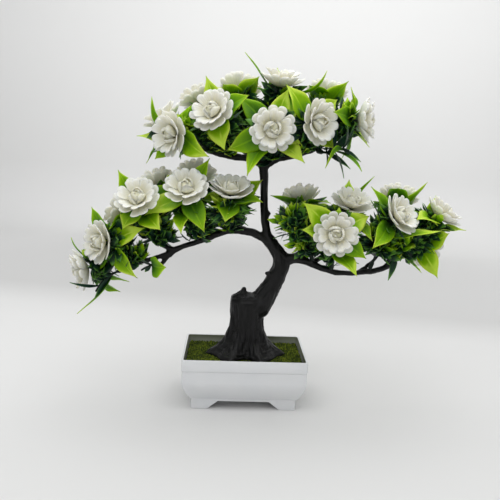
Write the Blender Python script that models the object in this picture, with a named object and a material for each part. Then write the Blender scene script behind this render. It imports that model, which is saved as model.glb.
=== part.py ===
# Artificial camellia bonsai in a footed rectangular pot.
# A black moulded trunk stands in a cement plug under a moss mat. Its branches carry short pegs.
# Each leafy stem is a sleeve pushed over a peg, and each white bloom sits on the stem's far end.
# Metres, +Z up, front of the pot towards -Y. Numbers in the tables below are millimetres.

import itertools
import math
import random

import bmesh
import bpy
from mathutils import Matrix, Quaternion, Vector
from mathutils.bvhtree import BVHTree
from mathutils.geometry import intersect_ray_tri

MM = 0.001
FIT_GAP = 0.3  # clearance between pieces that touch

# Pot: a moulded tray, its walls curving in to a plinth with four bracket feet
POT_WIDTH = 80.0
POT_DEPTH = 56.0
POT_HEIGHT = 34.2
POT_CORNER = 1.4
POT_WALL = 1.3
POT_FLOOR_TOP = 8.6
PLINTH_INSET = 6.0
PLINTH_TOP = 8.0
PLINTH_WALL = 3.0
FOOT_LENGTH = 11.0
FOOT_SLOPE = 6.5
FOOT_GAP_HEIGHT = 5.2
# (height, how far the outer wall lies inside the rim)
POT_PROFILE = [(7.2, 5.2), (9.8, 3.6), (12.8, 1.9), (16.3, 0.7), (19.8, 0.2),
               (26.6, 0.5), (27.0, 0.0), (34.2, 0.0)]

# Filler and moss
FILLER_TOP = 25.9
MOSS_BOTTOM = 26.2
MOSS_TOP = 29.4
MOSS_DIMPLE = 0.8
MOSS_CORNER = 0.3  # cut off for the pot's round corner
MOSS_CELLS_X = 10
MOSS_CELLS_Y = 6

# Trunk
ROOT_PEG_RADIUS = 7.5
ROOT_PEG_BOTTOM = 12.0
ROOT_PEG_SIDES = 16
TRUNK_BOTTOM = MOSS_TOP + FIT_GAP
STUMP_COLUMNS = 16
# (height, radius between the roots, how far the roots reach past it)
STUMP_PROFILE = [(TRUNK_BOTTOM, 15.5, 14.0), (31.6, 15.0, 12.5), (35.2, 13.6, 8.0), (40.0, 12.6, 3.2),
                 (48.0, 11.8, 0.4), (58.0, 11.2, 0.0), (68.8, 11.4, 0.0)]
ROOTS = {3: 1.0, 92: 0.6, 178: 1.0, 232: 0.8, 305: 0.8}  # direction in degrees, share of the full reach
STUB_PEAK = (-3.0, 0.0, 5.4)  # the broken stub's highest point, up from its edge
STUB_STEP = 0.5  # share of the way up to it at which the stub has a ring of points
STUMP_FLATNESS = 0.82
FLUTE = 0.055

# Branches: centreline points with the radius at each
BRANCHES = {
    "limb": [(-2, 0, 54, 8.0), (8.6, 0, 63.5, 8.8), (14.4, 0, 73, 7.1), (18.8, 0, 82, 6.3),
             (22.6, 0, 90, 5.9), (21.6, 0, 97, 5.1), (17.5, 0, 103, 4.4), (13.6, 0, 109, 3.9)],
    "left": [(17, 0, 103, 3.8), (9, -1, 110, 3.2), (2, -2, 112.8, 2.9), (-6, -3, 114, 2.6),
             (-14, -4, 113.3, 2.5), (-22, -4, 110.4, 2.4), (-30, -5, 106.6, 2.1),
             (-38, -5, 104, 1.9), (-46, -6, 100.9, 2.2), (-51, -6, 97.6, 2.5)],
    "left_low": [(-48, -6, 99.5, 2.2), (-53, -7, 94, 1.9), (-57, -8, 89, 1.7)],
    "left_up": [(-47, -6, 100, 2.2), (-54, -6, 103, 2.0), (-61, -6, 107, 1.8)],
    "left_far": [(-49, -6, 98.5, 2.2), (-60, -9, 95, 1.9), (-69, -11, 92.5, 1.8), (-77, -13, 89, 1.7)],
    "left_back": [(-26, -4.5, 108.5, 2.1), (-34, 2, 114, 1.9), (-42, 6, 121, 1.7)],
    "centre": [(16, 0, 104.5, 3.7), (12, 0, 112, 3.2), (10.2, 0, 121, 2.8), (9.4, 0, 133, 2.7),
               (9.0, 0, 145, 2.9), (8, 0, 154, 3.3), (7, 0, 160, 3.2)],
    "top_left": [(8.5, 0, 156, 2.9), (0, -1, 160, 2.6), (-11, -2, 160.6, 2.5), (-22, -3, 162.5, 2.2),
                 (-33, -4, 166.5, 1.9)],
    "top_right": [(8, 0, 155, 2.9), (17, -2, 160.5, 2.6), (28, -3, 163, 2.4), (38, -5, 166.5, 2.1),
                  (46, -6, 171, 1.8)],
    "top_mid": [(7, 0, 158, 2.6), (6, 2, 168, 2.2), (9, 1, 182, 1.8)],
    "top_back": [(4, 0, 159, 2.3), (-7, 6, 166, 2.0), (-18, 10, 175, 1.8)],
    "top_far": [(14, -1, 159, 2.3), (24, 6, 166, 2.0), (33, 9, 175, 1.8)],
    "right": [(20, 0, 90, 4.4), (26, 0, 95.3, 4.4), (31.5, -1, 96.9, 3.8), (37, -2, 95.6, 2.8),
              (46, -4, 91.8, 2.4), (57, -6, 88.8, 2.1), (69, -6, 88.6, 1.9), (80, -5, 89.6, 1.9),
              (89, -3, 91.6, 2.1), (95, -1, 95, 2.4), (99, 0, 100.5, 2.2)],
    "right_up": [(41, -2.6, 93.2, 2.4), (49, 1, 97.5, 2.1), (57, 1, 106, 1.8)],
    "right_mid": [(72, -5.8, 88.8, 1.8), (82, 0, 95, 1.7), (92, 6, 105, 1.7)],
    "knob_stub": [(-2.4, -1, 72, 2.2), (-1.4, -1.5, 76.4, 1.8)],
    "knob_limb": [(18, -1, 85, 3.0), (11.5, -2, 86.5, 1.6)],
    "knob_centre": [(10, 0, 123, 2.6), (14, -1, 126, 1.5)],
}
BRANCH_ROUNDNESS = {"limb": 2, "left": 1, "centre": 1, "right": 1}  # a twig has 0, which is four sides
PEG_RADIUS = 0.95
PEG_LENGTH = 3.2
PEG_LEAN = 0.5  # sine of the most that a peg leans along its branch

# Leafy stems
FOOT_RADIUS = 2.1  # where the stem's sleeve meets the bark
SLEEVE_RADIUS = 1.95
SLEEVE_BORE = 1.4
SLEEVE_BORE_DEPTH = PEG_LENGTH + 0.6 * FIT_GAP
SLEEVE_LENGTH = 4.6
STEM_RADIUS = 0.95
STEM_END = 0.8
STEM_BENDS = (0, 2, -2, 4, -4, 6, -6, 9, -9, 12, -12, 16, -16)  # how far a stem may bow to pass
NECK = 5.5  # the stem's straight top, which carries the whorl
WHORL_DROP = 3.2  # the leaf whorl sits this far under its bloom
NODE_SPACING = 6.6  # along the stem, between the nodes that its blades grow from
NODE_HEIGHT = 0.9
LEAF_RIB = 1.3  # thickness at the rib
LEAF_FOLD = 0.28
# Each kind: sections as (share of the length, share of the width), length, width, pitch in degrees
# and how far the tip droops for its length
BROAD_LEAF = (((0.42, 1.0), (0.73, 0.74)), (24.0, 29.0), (11.0, 13.0), (-8, 12), (0.03, 0.2))
LONG_BLADE = (((0.35, 1.0), (0.7, 0.8)), (25.0, 33.0), (3.2, 4.4), (5, 30), (0.2, 0.35))
BLADE = (((0.42, 1.0),), (12.0, 22.0), (2.8, 5.4), (20, 50), (0.03, 0.2))
SHORT_BLADE = (((0.42, 1.0),), (6.0, 10.0), (2.6, 3.8), (20, 50), (0.03, 0.2))
SPARSE_SPRAYS = ("left_tip", "left_under")  # these bear only a few short blades
# Ways to lay a leaf, from the natural one on: it may be smaller, lifted or turned, in degrees
LEAF_SIZES = (1.0, 0.85, 0.7)
LEAF_LIFTS = (0, 12, -14, -28, -42, -56)
LEAF_TURNS = (0, 14, -14, 28, -28)
LEAF_CLEARANCE = 0.5
AIM_TURN = 52.0  # the most that an aimed leaf turns, in degrees, from its side of the stem
# To pass what is in its way, an aimed leaf may droop less or bow up, be narrower, or end further back
AIM_BOWS = (1.0, 0.3, -0.6, -1.6)
AIM_WIDTHS = (1.0, 0.75)
AIM_DEPTHS = (0, 6, 12, 18, -6)

# Blooms: six petals a layer, each with two lobes
PETALS = 6
BLOOM_CENTRE = 7.0  # from its base to the middle of its outer rim
BLOOM_BORE = 1.45
BLOOM_BORE_DEPTH = 2.7

# name: middle of the bloom, the way it faces, the branch that carries its stem, the place along it
BLOOMS = {
    "top_1": ((-25, -30, 188), (-0.40, -0.80, 0.40), "top_left", 0.66),
    "top_2": ((-50, -24, 173), (-0.65, -0.75, -0.05), "top_left", 0.84),
    "top_3": ((-8, 9, 205), (0.10, 0.50, 0.85), "top_back", 0.60),
    "top_4": ((10.5, -37, 178), (0.00, -1.00, 0.04), "top_right", 0.22),
    "top_5": ((17, -10, 210), (0.10, -0.12, 1.00), "top_mid", 1.00),
    "top_6": ((38, -34, 183), (0.58, -0.80, 0.05), "top_right", 0.62),
    "top_7": ((70, -14, 186), (0.95, -0.28, 0.05), "top_right", 1.00),
    "top_8": ((48, 13, 204), (0.20, 0.42, 0.90), "top_far", 1.00),
    "top_9": ((-57, 0, 185), (-0.55, -0.10, 0.80), "top_left", 1.00),
    "top_10": ((-36, 19, 199), (-0.45, 0.20, 0.85), "top_back", 1.00),
    "left_1": ((-68, -30, 136), (-0.10, -0.78, 0.62), "left_up", 0.50),
    "left_2": ((-39, -30, 143), (0.00, -0.74, 0.67), "left", 0.72),
    "left_3": ((-12, -23, 143), (0.05, -0.38, 0.92), "left", 0.50),
    "left_4": ((-92, -25, 107), (-0.75, -0.65, 0.08), "left_far", 0.62),
    "left_5": ((-107, -10, 86), (-0.92, -0.28, -0.22), "left_far", 0.84),
    "left_6": ((-84, -4, 126), (-0.85, 0.05, 0.42), "left_up", 1.00),
    "left_7": ((-60, 14, 142.5), (-0.25, 0.55, 0.80), "left_back", 1.00),
    "left_8": ((-35, 20, 149), (0.10, 0.55, 0.82), "left_back", 0.66),
    "right_1": ((51, -36, 118), (-0.06, -0.99, 0.10), "right", 0.44),
    "right_2": ((65, -9, 136), (0.12, -0.42, 0.90), "right_up", 1.00),
    "right_3": ((93, -24, 130), (0.58, -0.58, 0.55), "right", 0.72),
    "right_4": ((126, -5, 131), (0.62, -0.15, 0.78), "right", 1.00),
    "right_5": ((118, 8, 105), (0.62, 0.62, -0.40), "right", 0.86),
    "right_6": ((34, 12, 137), (-0.20, 0.42, 0.88), "right", 0.22),
    "right_7": ((102, 19, 138), (0.25, 0.45, 0.86), "right_mid", 1.00),
}
# Sprays with no bloom: where the tip ends, the way it points there, the branch and the place along it
SPRAYS = {
    "left_tip": ((-95, -18, 74), (-0.45, -0.10, -0.88), "left_far", 1.00),
    "left_under": ((-66, -24, 90), (-0.45, -0.65, -0.40), "left_far", 0.30),
    "left_inner": ((-8, 10, 134), (0.45, 0.20, 0.85), "left", 0.42),
    "top_right": ((58, -26, 167), (0.80, -0.30, -0.52), "top_right", 0.80),
    "right_left": ((24, -15, 123), (-0.72, -0.35, 0.55), "right", 0.30),
}

# Leaf tips that make the outline, by the stem that they grow from
AIMED_LEAVES = {
    "top_1": ((BROAD_LEAF, (-28, -22, 207)), (BROAD_LEAF, (-5, -32, 198)), (BROAD_LEAF, (-18, -34, 165)),
              (BROAD_LEAF, (-49, -22, 183))),
    "top_2": ((LONG_BLADE, (-62, -20, 195)), (BROAD_LEAF, (-73, -12, 174)), (BROAD_LEAF, (-60, -18, 157))),
    "top_3": ((BROAD_LEAF, (3, -4, 211)), (BROAD_LEAF, (-20, -6, 205))),
    "top_4": ((BROAD_LEAF, (-5, -38, 154)), (BROAD_LEAF, (29, -38, 162))),
    "top_5": ((LONG_BLADE, (-4, -14, 221)), (LONG_BLADE, (40, -18, 213)), (BROAD_LEAF, (16, 10, 221))),
    "top_6": ((BROAD_LEAF, (20, -30, 205)),),
    "top_7": ((BROAD_LEAF, (60, -14, 205)), (BROAD_LEAF, (79, 4, 172))),
    "top_8": ((BROAD_LEAF, (36, -4, 209)), (BROAD_LEAF, (57, -4, 211))),
    "left_1": ((BROAD_LEAF, (-81, -22, 150)), (BROAD_LEAF, (-54, -36, 118)), (BROAD_LEAF, (-77, -30, 117))),
    "left_2": ((BROAD_LEAF, (-43, -38, 119)), (BROAD_LEAF, (-27, -20, 160))),
    "left_3": ((BROAD_LEAF, (-15, -32, 124)), (BROAD_LEAF, (7, -24, 137)), (BROAD_LEAF, (6, -10, 150))),
    "left_4": ((BROAD_LEAF, (-99, -16, 127)), (BROAD_LEAF, (-100, -12, 116))),
    "left_5": ((LONG_BLADE, (-111, -14, 107)),),
    "right_1": ((BROAD_LEAF, (32, -34, 137)), (BROAD_LEAF, (65, -38, 95)), (BROAD_LEAF, (32, -34, 120))),
    "right_2": ((BROAD_LEAF, (66, 4, 149)), (LONG_BLADE, (78, -6, 150))),
    "right_3": ((BROAD_LEAF, (74, -24, 147)), (BROAD_LEAF, (114, -28, 124))),
    "right_4": ((BROAD_LEAF, (139, -8, 122)), (BROAD_LEAF, (130, 10, 140))),
    "right_5": ((BROAD_LEAF, (117, 0, 90)), (BROAD_LEAF, (132, 4, 108))),
    "right_6": ((BROAD_LEAF, (14, 4, 137)), (LONG_BLADE, (17, 0, 126)), (BROAD_LEAF, (43, 16, 140))),
    "right_7": ((BROAD_LEAF, (116, 10, 149)),),
    "left_tip": ((LONG_BLADE, (-107, -18, 61)), (BLADE, (-95, -18, 71)), (BLADE, (-108, -31, 82))),
    "left_under": ((BROAD_LEAF, (-51, -26, 92)),),
    "top_right": ((LONG_BLADE, (65, -30, 156)), (LONG_BLADE, (44, -34, 157))),
}


def bodies_in(name):
    collection = bpy.data.collections.new(name)
    bpy.context.scene.collection.children.link(collection)
    return collection


def plastic(name, colour, roughness):
    material = bpy.data.materials.new(name)
    material.use_nodes = True
    shader = material.node_tree.nodes["Principled BSDF"]
    shader.inputs["Base Color"].default_value = (*colour, 1.0)
    shader.inputs["Roughness"].default_value = roughness
    shader.inputs["Metallic"].default_value = 0.0
    return material


def mesh_from(bm, name):
    """The bmesh, drawn in millimetres, as a mesh in metres with its faces pointing out."""
    bmesh.ops.recalc_face_normals(bm, faces=bm.faces)
    bmesh.ops.scale(bm, vec=(MM, MM, MM), verts=bm.verts)
    mesh = bpy.data.meshes.new(name)
    bm.to_mesh(mesh)
    bm.free()
    return mesh


def solid(name, mesh, material, collection):
    obj = bpy.data.objects.new(name, mesh)
    collection.objects.link(obj)
    mesh.materials.clear()
    mesh.materials.append(material)
    return obj


def skin(bm, low, high):
    """Triangles between two rings, where one may have a whole number of times fewer points."""
    few, many = sorted((low, high), key=len)
    ratio = len(many) // len(few)
    for i in range(len(many)):
        j = (i + 1) % len(many)
        start, end = few[i // ratio % len(few)], few[j // ratio % len(few)]
        bm.faces.new((start, many[j], many[i]))
        if start is not end:
            bm.faces.new((start, end, many[j]))


def loft(bm, sections, caps=True):
    """A skin from section to section, with flat ends. Returns the vertices of each section."""
    rows = [[bm.verts.new(point) for point in section] for section in sections]
    for low, high in zip(rows, rows[1:]):
        skin(bm, low, high)
    for row in (rows[0], rows[-1]):
        if caps and len(row) > 2:
            bm.faces.new(row)
    return rows


def ring(radius, height, count, turn=0.0):
    angles = [turn + 2 * math.pi * i / count for i in range(count)]
    return [(radius * math.cos(a), radius * math.sin(a), height) for a in angles]


def bar(name, radius, start, end, sides, material, collection):
    """A straight round bar, or one with few sides, between two points."""
    along = end - start
    turn = along.to_track_quat("Z", "Y").to_matrix().to_4x4()
    bm = bmesh.new()
    bmesh.ops.create_cone(bm, cap_ends=True, segments=sides, radius1=radius, radius2=radius,
                          depth=along.length, matrix=Matrix.Translation((start + end) / 2) @ turn)
    return solid(name, mesh_from(bm, name), material, collection)


def rounded_rectangle(half_x, half_y, corner, height, steps=3):
    points = []
    for quarter, (sx, sy) in enumerate(((1, 1), (-1, 1), (-1, -1), (1, -1))):
        for step in range(steps):
            angle = math.radians(90 * (quarter + step / (steps - 1)))
            points.append((sx * (half_x - corner) + corner * math.cos(angle),
                           sy * (half_y - corner) + corner * math.sin(angle), height))
    return points


def pot_section(height, inset):
    corner = max(1.0, POT_CORNER - 0.2 * inset)
    return rounded_rectangle(POT_WIDTH / 2 - inset, POT_DEPTH / 2 - inset, corner, height)


def wall_inset(height):
    """How far the pot's outer wall lies inside the rim at this height."""
    for (low, a), (high, b) in zip(POT_PROFILE, POT_PROFILE[1:]):
        if low <= height <= high:
            return a + (b - a) * (height - low) / (high - low)
    return POT_PROFILE[0][1]


def combine(name, pieces, operation="UNION"):
    """The first piece joined with, or cut by, all the others, as one mesh object."""
    body, others = pieces[0], pieces[1:]
    group = bodies_in(name + "_pieces")
    for other in others:
        for collection in list(other.users_collection):
            collection.objects.unlink(other)
        group.objects.link(other)
    modifier = body.modifiers.new("join", "BOOLEAN")
    modifier.operation = operation
    modifier.solver = "MANIFOLD"
    modifier.operand_type = "COLLECTION"
    modifier.collection = group
    bpy.context.view_layer.update()
    evaluated = body.evaluated_get(bpy.context.evaluated_depsgraph_get())
    mesh = bpy.data.meshes.new_from_object(evaluated)
    drop_scraps(mesh)
    material = body.data.materials[0]
    collection = body.users_collection[0]
    for obj in pieces:
        bpy.data.objects.remove(obj)
    bpy.data.collections.remove(group)
    return solid(name, mesh, material, collection)


def drop_scraps(mesh):
    """Keeps the largest shell: loose scraps go, and a hollow that the joining seals is filled."""
    bm = bmesh.new()
    bm.from_mesh(mesh)
    left = set(bm.faces)
    shells = []
    while left:
        shell = {left.pop()}
        border = list(shell)
        while border:
            near = {f for e in border.pop().edges for f in e.link_faces} & left
            left -= near
            shell |= near
            border += near
        shells.append(shell)
    largest = max(shells, key=lambda shell: sum(f.calc_area() for f in shell))
    scraps = [f for shell in shells if shell is not largest for f in shell]
    bmesh.ops.delete(bm, geom=scraps, context="FACES")
    bmesh.ops.triangulate(bm, faces=bm.faces, quad_method="BEAUTY", ngon_method="BEAUTY")
    bm.to_mesh(mesh)
    bm.free()


def make_pot(material, collection):
    """Outer wall, rim, inner wall and floor in one loft, with the footed plinth joined below."""
    outer = [pot_section(height, inset) for height, inset in POT_PROFILE]
    inner = [pot_section(h, wall_inset(h) + POT_WALL) for h in (POT_HEIGHT, 21.0, 14.0, POT_FLOOR_TOP)]
    bm = bmesh.new()
    loft(bm, outer + inner)
    body = solid("pot_body", mesh_from(bm, "pot_body"), material, collection)

    half_x = POT_WIDTH / 2 - PLINTH_INSET
    half_y = POT_DEPTH / 2 - PLINTH_INSET
    bm = bmesh.new()
    loft(bm, [rounded_rectangle(half_x - PLINTH_WALL, half_y - PLINTH_WALL, 1.0, PLINTH_TOP - 1.2),
              rounded_rectangle(half_x - PLINTH_WALL, half_y - PLINTH_WALL, 1.0, 0.0),
              rounded_rectangle(half_x, half_y, 1.4, 0.0),
              rounded_rectangle(half_x, half_y, 1.4, PLINTH_TOP)])
    plinth = solid("plinth", mesh_from(bm, "plinth"), material, collection)
    gaps = [foot_gap("front_gap", half_x, 0.0, material, collection),
            foot_gap("side_gap", half_y, math.pi / 2, material, collection)]
    return combine("pot", [body, combine("plinth", [plinth, *gaps], "DIFFERENCE")])


def foot_gap(name, half, turn, material, collection):
    """Cuts the plinth between its feet: a slot with sloping ends, right through the pot."""
    low = half - FOOT_LENGTH
    bm = bmesh.new()
    bmesh.ops.create_cube(bm, size=2.0)
    for vert in bm.verts:
        top = vert.co.z > 0
        vert.co.x *= low - FOOT_SLOPE if top else low + FOOT_SLOPE
        vert.co.y *= POT_WIDTH
        vert.co.z = FOOT_GAP_HEIGHT if top else -FOOT_GAP_HEIGHT
    bmesh.ops.rotate(bm, verts=bm.verts, matrix=Matrix.Rotation(turn, 3, "Z"))
    return solid(name, mesh_from(bm, name), material, collection)


def root_hole(low, material, collection):
    """Cuts the round hole that the trunk's root peg stands in."""
    return bar("hole", ROOT_PEG_RADIUS + FIT_GAP, Vector((0, 0, low)), Vector((0, 0, POT_HEIGHT)),
               ROOT_PEG_SIDES, material, collection)


def make_filler(material, collection):
    """The cement plug: it fills the pot's lower part and has a blind hole for the trunk's root peg."""
    low = POT_FLOOR_TOP + FIT_GAP
    bm = bmesh.new()
    loft(bm, [pot_section(h, wall_inset(h) + POT_WALL + 1.5 * FIT_GAP) for h in (low, 14.0, FILLER_TOP)])
    plug = solid("plug", mesh_from(bm, "plug"), material, collection)
    hole = root_hole(ROOT_PEG_BOTTOM - FIT_GAP, material, collection)
    return combine("pot_filler", [plug, hole], "DIFFERENCE")


def make_moss(material, collection):
    """A flocked mat with a dimpled top, cut round the trunk's root peg."""
    inset = POT_WALL + 1.6 * FIT_GAP + wall_inset(MOSS_BOTTOM)
    bm = bmesh.new()
    bmesh.ops.create_grid(bm, x_segments=MOSS_CELLS_X, y_segments=MOSS_CELLS_Y, size=1.0)
    for vert in bm.verts:
        u, v = vert.co.x, vert.co.y
        inner = min(1.0, 6 * (1 - max(abs(u), abs(v))))
        waves = math.sin(11 * u + 5 * v) * math.cos(9 * v - 4 * u) + 0.6 * math.sin(17 * u * v + 2)
        trim = inset + (MOSS_CORNER if min(abs(u), abs(v)) > 0.99 else 0.0)
        vert.co = (u * (POT_WIDTH / 2 - trim), v * (POT_DEPTH / 2 - trim),
                   MOSS_TOP - MOSS_DIMPLE * (0.5 + 0.3 * inner * waves))
    rim = bmesh.ops.extrude_edge_only(bm, edges=[e for e in bm.edges if e.is_boundary])["geom"]
    for vert in rim:
        if isinstance(vert, bmesh.types.BMVert):
            vert.co.z = MOSS_BOTTOM
    bmesh.ops.contextual_create(bm, geom=[e for e in bm.edges if e.is_boundary])
    mat = solid("mat", mesh_from(bm, "mat"), material, collection)
    hole = root_hole(MOSS_BOTTOM - 5.0, material, collection)
    return combine("moss_mat", [mat, hole], "DIFFERENCE")


def make_stump(material, collection):
    """The fluted trunk base: it flares into five roots and ends in a broken stub."""
    sections = []
    for height, radius, root in STUMP_PROFILE:
        section = []
        for i in range(STUMP_COLUMNS):
            angle = 360 * i / STUMP_COLUMNS
            near, share = min((abs((angle - r + 180) % 360 - 180), part) for r, part in ROOTS.items())
            lobe = share * max(0.0, math.cos(math.radians(min(90, near * 2.6))))
            reach = (radius + root * lobe) * (1 + FLUTE * (1 if i % 2 else -1))
            a = math.radians(angle)
            section.append((reach * math.cos(a) + 0.8, STUMP_FLATNESS * reach * math.sin(a), height))
        sections.append(section)
    peak = Vector(STUB_PEAK) + Vector((0, 0, STUMP_PROFILE[-1][0]))
    sections.append([tuple(Vector(point).lerp(peak, STUB_STEP)) for point in sections[-1]])
    sections.append([tuple(peak)])
    bm = bmesh.new()
    loft(bm, sections)
    return solid("stump", mesh_from(bm, "stump"), material, collection)


def make_branch(name, material, collection):
    """A branch as a bevelled curve through its points, turned into a closed mesh."""
    curve = bpy.data.curves.new(name, "CURVE")
    curve.dimensions = "3D"
    curve.bevel_depth = MM
    curve.bevel_resolution = BRANCH_ROUNDNESS.get(name, 0)
    curve.use_fill_caps = True
    rows = BRANCHES[name]
    spline = curve.splines.new("POLY")
    spline.points.add(len(rows) - 1)
    for point, row in zip(spline.points, rows):
        point.co = (*(Vector(row[:3]) * MM), 1.0)
        point.radius = row[3]
    guide = bpy.data.objects.new(name, curve)
    collection.objects.link(guide)
    bpy.context.view_layer.update()
    mesh = bpy.data.meshes.new_from_object(guide.evaluated_get(bpy.context.evaluated_depsgraph_get()))
    bpy.data.objects.remove(guide)
    bm = bmesh.new()
    bm.from_mesh(mesh)
    bmesh.ops.remove_doubles(bm, verts=bm.verts, dist=0.01 * MM)
    bmesh.ops.recalc_face_normals(bm, faces=bm.faces)
    bm.to_mesh(mesh)
    bm.free()
    return solid(name, mesh, material, collection)


def branch_place(branch, share):
    """Centre, direction and radius at a share of the branch's length."""
    points = [Vector(p[:3]) for p in BRANCHES[branch]]
    radii = [p[3] for p in BRANCHES[branch]]
    lengths = [(b - a).length for a, b in zip(points, points[1:])]
    left = share * sum(lengths)
    for i, length in enumerate(lengths):
        if left <= length or i == len(lengths) - 1:
            part = min(1.0, left / length)
            return (points[i].lerp(points[i + 1], part), (points[i + 1] - points[i]).normalized(),
                    radii[i] + (radii[i + 1] - radii[i]) * part)
        left -= length


def peg_place(branch, share, target):
    """Where a peg leaves the branch: its start on the centre line, its direction, and how far along
    it a sleeve clears the bark. At the branch's end the peg goes straight on."""
    centre, along, radius = branch_place(branch, share)
    if share == 1.0:
        return centre, along, 0.0
    towards = (target - centre).normalized()
    across = (towards - along * towards.dot(along)).normalized()
    lean = max(-PEG_LEAN, min(PEG_LEAN, towards.dot(along)))
    rise = math.sqrt(1 - lean * lean)
    return centre, across * rise + along * lean, (radius + abs(lean) * FOOT_RADIUS) / rise


def carried_stems():
    """Every leafy stem as (name, end point, end direction, branch, share)."""
    for name, (middle, facing, branch, share) in BLOOMS.items():
        facing = Vector(facing).normalized()
        yield name, Vector(middle) - facing * BLOOM_CENTRE, facing, branch, share
    for name, (end, direction, branch, share) in SPRAYS.items():
        yield name, Vector(end), Vector(direction).normalized(), branch, share


def make_trunk(material, collection):
    """Stump, branches and pegs, joined as one moulding."""
    pieces = [make_stump(material, collection),
              bar("root_peg", ROOT_PEG_RADIUS, Vector((0, 0, ROOT_PEG_BOTTOM)),
                  Vector((0, 0, TRUNK_BOTTOM + 3.0)), ROOT_PEG_SIDES, material, collection)]
    pieces += [make_branch(name, material, collection) for name in BRANCHES]
    for name, end, _, branch, share in carried_stems():
        centre, away, bark = peg_place(branch, share, end)
        start = centre - away * min(1.5, 0.5 * bark + 0.8)
        tip = centre + away * (bark + FIT_GAP + PEG_LENGTH)
        pieces.append(bar("peg_" + name, PEG_RADIUS, start, tip, 4, material, collection))
    return combine("trunk", pieces)


def scalloped(lobe, notch):
    """A ring of three points a petal: the notch beside it and its two lobes, as (radius, height)."""
    points = []
    for petal in range(PETALS):
        for place, share in ((notch, 0.0), (lobe, 0.30), (lobe, 0.70)):
            angle = 2 * math.pi * (petal + share) / PETALS
            points.append((place[0] * math.cos(angle), place[0] * math.sin(angle), place[1]))
    return points


def make_bloom_mesh():
    """A camellia bloom facing +Z, moulded in one. The loft runs from the bore in its base round the
    outer layer of petals, round the inner layer, and ends in the rolled bud."""
    bm = bmesh.new()
    loft(bm, [
        ring(BLOOM_BORE, BLOOM_BORE_DEPTH, PETALS),
        ring(BLOOM_BORE, 0.0, PETALS),
        ring(2.6, 0.0, PETALS),
        scalloped((9.4, 2.6), (8.8, 3.0)),
        scalloped((14.2, 7.4), (11.0, 5.2)),
        scalloped((13.8, 8.1), (10.6, 6.0)),
        ring(5.7, 4.6, PETALS),
        scalloped((11.2, 10.4), (8.5, 8.8)),
        scalloped((10.6, 11.1), (7.9, 9.5)),
        ring(4.7, 6.2, PETALS),
        ring(3.6, 6.8, PETALS),
        ring(4.4, 10.2, PETALS, 0.5),
        ring(1.5, 8.6, PETALS, 0.9),
    ])
    return mesh_from(bm, "bloom")


def make_blooms(material, collection):
    """The same bloom at every place, each turned on its own axis."""
    mesh = make_bloom_mesh()
    draw = random.Random("blooms")
    blooms = []
    for name, (middle, facing, _, _) in BLOOMS.items():
        facing = Vector(facing).normalized()
        bloom = solid("bloom_" + name, mesh, material, collection)
        bloom.location = (Vector(middle) - facing * BLOOM_CENTRE) * MM
        spin = Quaternion((0, 0, 1), draw.uniform(0, 2 * math.pi / PETALS))
        bloom.rotation_euler = (facing.to_track_quat("Z", "Y") @ spin).to_euler()
        blooms.append(bloom)
    bpy.context.view_layer.update()
    return blooms


class Space:
    """Keeps what stands where, so that a new stem or leaf can be laid clear of the rest."""

    def __init__(self):
        self.held = []

    def add(self, owner, points, faces):
        low = [min(p[k] for p in points) for k in range(3)]
        high = [max(p[k] for p in points) for k in range(3)]
        self.held.append((owner, BVHTree.FromPolygons(points, faces), low, high))

    def add_object(self, obj):
        to_mm = Matrix.Scale(1 / MM, 4) @ obj.matrix_world
        self.add(obj.name, [to_mm @ v.co for v in obj.data.vertices],
                 [tuple(f.vertices) for f in obj.data.polygons])

    def clear(self, points, faces, but=None):
        """Whether this shape crosses nothing, leaving out what one owner holds."""
        low = [min(p[k] for p in points) for k in range(3)]
        high = [max(p[k] for p in points) for k in range(3)]
        tree = None
        for owner, held, held_low, held_high in self.held:
            if owner == but or any(low[k] > held_high[k] or held_low[k] > high[k] for k in range(3)):
                continue
            tree = tree or BVHTree.FromPolygons(points, faces)
            if held.overlap(tree):
                return False
        return True


def shell_of(sections, caps=True):
    """The loft through the sections, as points and faces."""
    bm = bmesh.new()
    loft(bm, sections, caps)
    bm.verts.index_update()
    points = [v.co.copy() for v in bm.verts]
    faces = [[v.index for v in f.verts] for f in bm.faces]
    bm.free()
    return points, faces


def sweep(points, directions, radii):
    """Square sections across each direction, turned as little as possible from one to the next."""
    sections = []
    turn = directions[0].to_track_quat("Z", "Y")
    for i, (point, radius) in enumerate(zip(points, radii)):
        if i:
            turn = directions[i - 1].rotation_difference(directions[i]) @ turn
        sections.append([point + turn @ Vector(p) for p in ring(radius, 0.0, 4)])
    return sections


def directions_of(points):
    """The way the path through the points runs at each of them."""
    steps = [(b - a).normalized() for a, b in zip(points, points[1:])]
    middles = [(a + b).normalized() for a, b in zip(steps, steps[1:])]
    return [steps[0], *middles, steps[-1]]


def bowed(top, away, neck, facing, bend, share):
    """A point of a stem that leaves top along away and reaches neck along facing, bowed by bend."""
    reach = (neck - top).length
    sideways = (neck - top).cross(facing)
    sideways = sideways.normalized() if sideways.length > 0.001 else Vector((0, 1, 0))
    first = top + away * 0.42 * reach + sideways * bend
    second = neck - facing * 0.38 * reach + sideways * bend
    rest = 1 - share
    return (top * rest ** 3 + first * 3 * share * rest ** 2
            + second * 3 * share ** 2 * rest + neck * share ** 3)


def leaf_sections(rows, length, width, arch, frame, grow=0.0):
    """Sections of a leaf along the frame's +X, ending in its tip: folded on the rib, thin-edged."""
    sections = []
    for share, wide in rows:
        x = share * length
        y = 0.5 * width * wide + grow
        z = -arch * length * share * share
        points = ((x, -y, z + LEAF_FOLD * y), (x, 0, z - 0.5 * LEAF_RIB - grow),
                  (x, y, z + LEAF_FOLD * y), (x, 0, z + 0.5 * LEAF_RIB + grow))
        sections.append([frame @ Vector(p) for p in points])
    sections.append([frame @ Vector((length + grow, 0, -arch * length))])
    return sections


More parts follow.
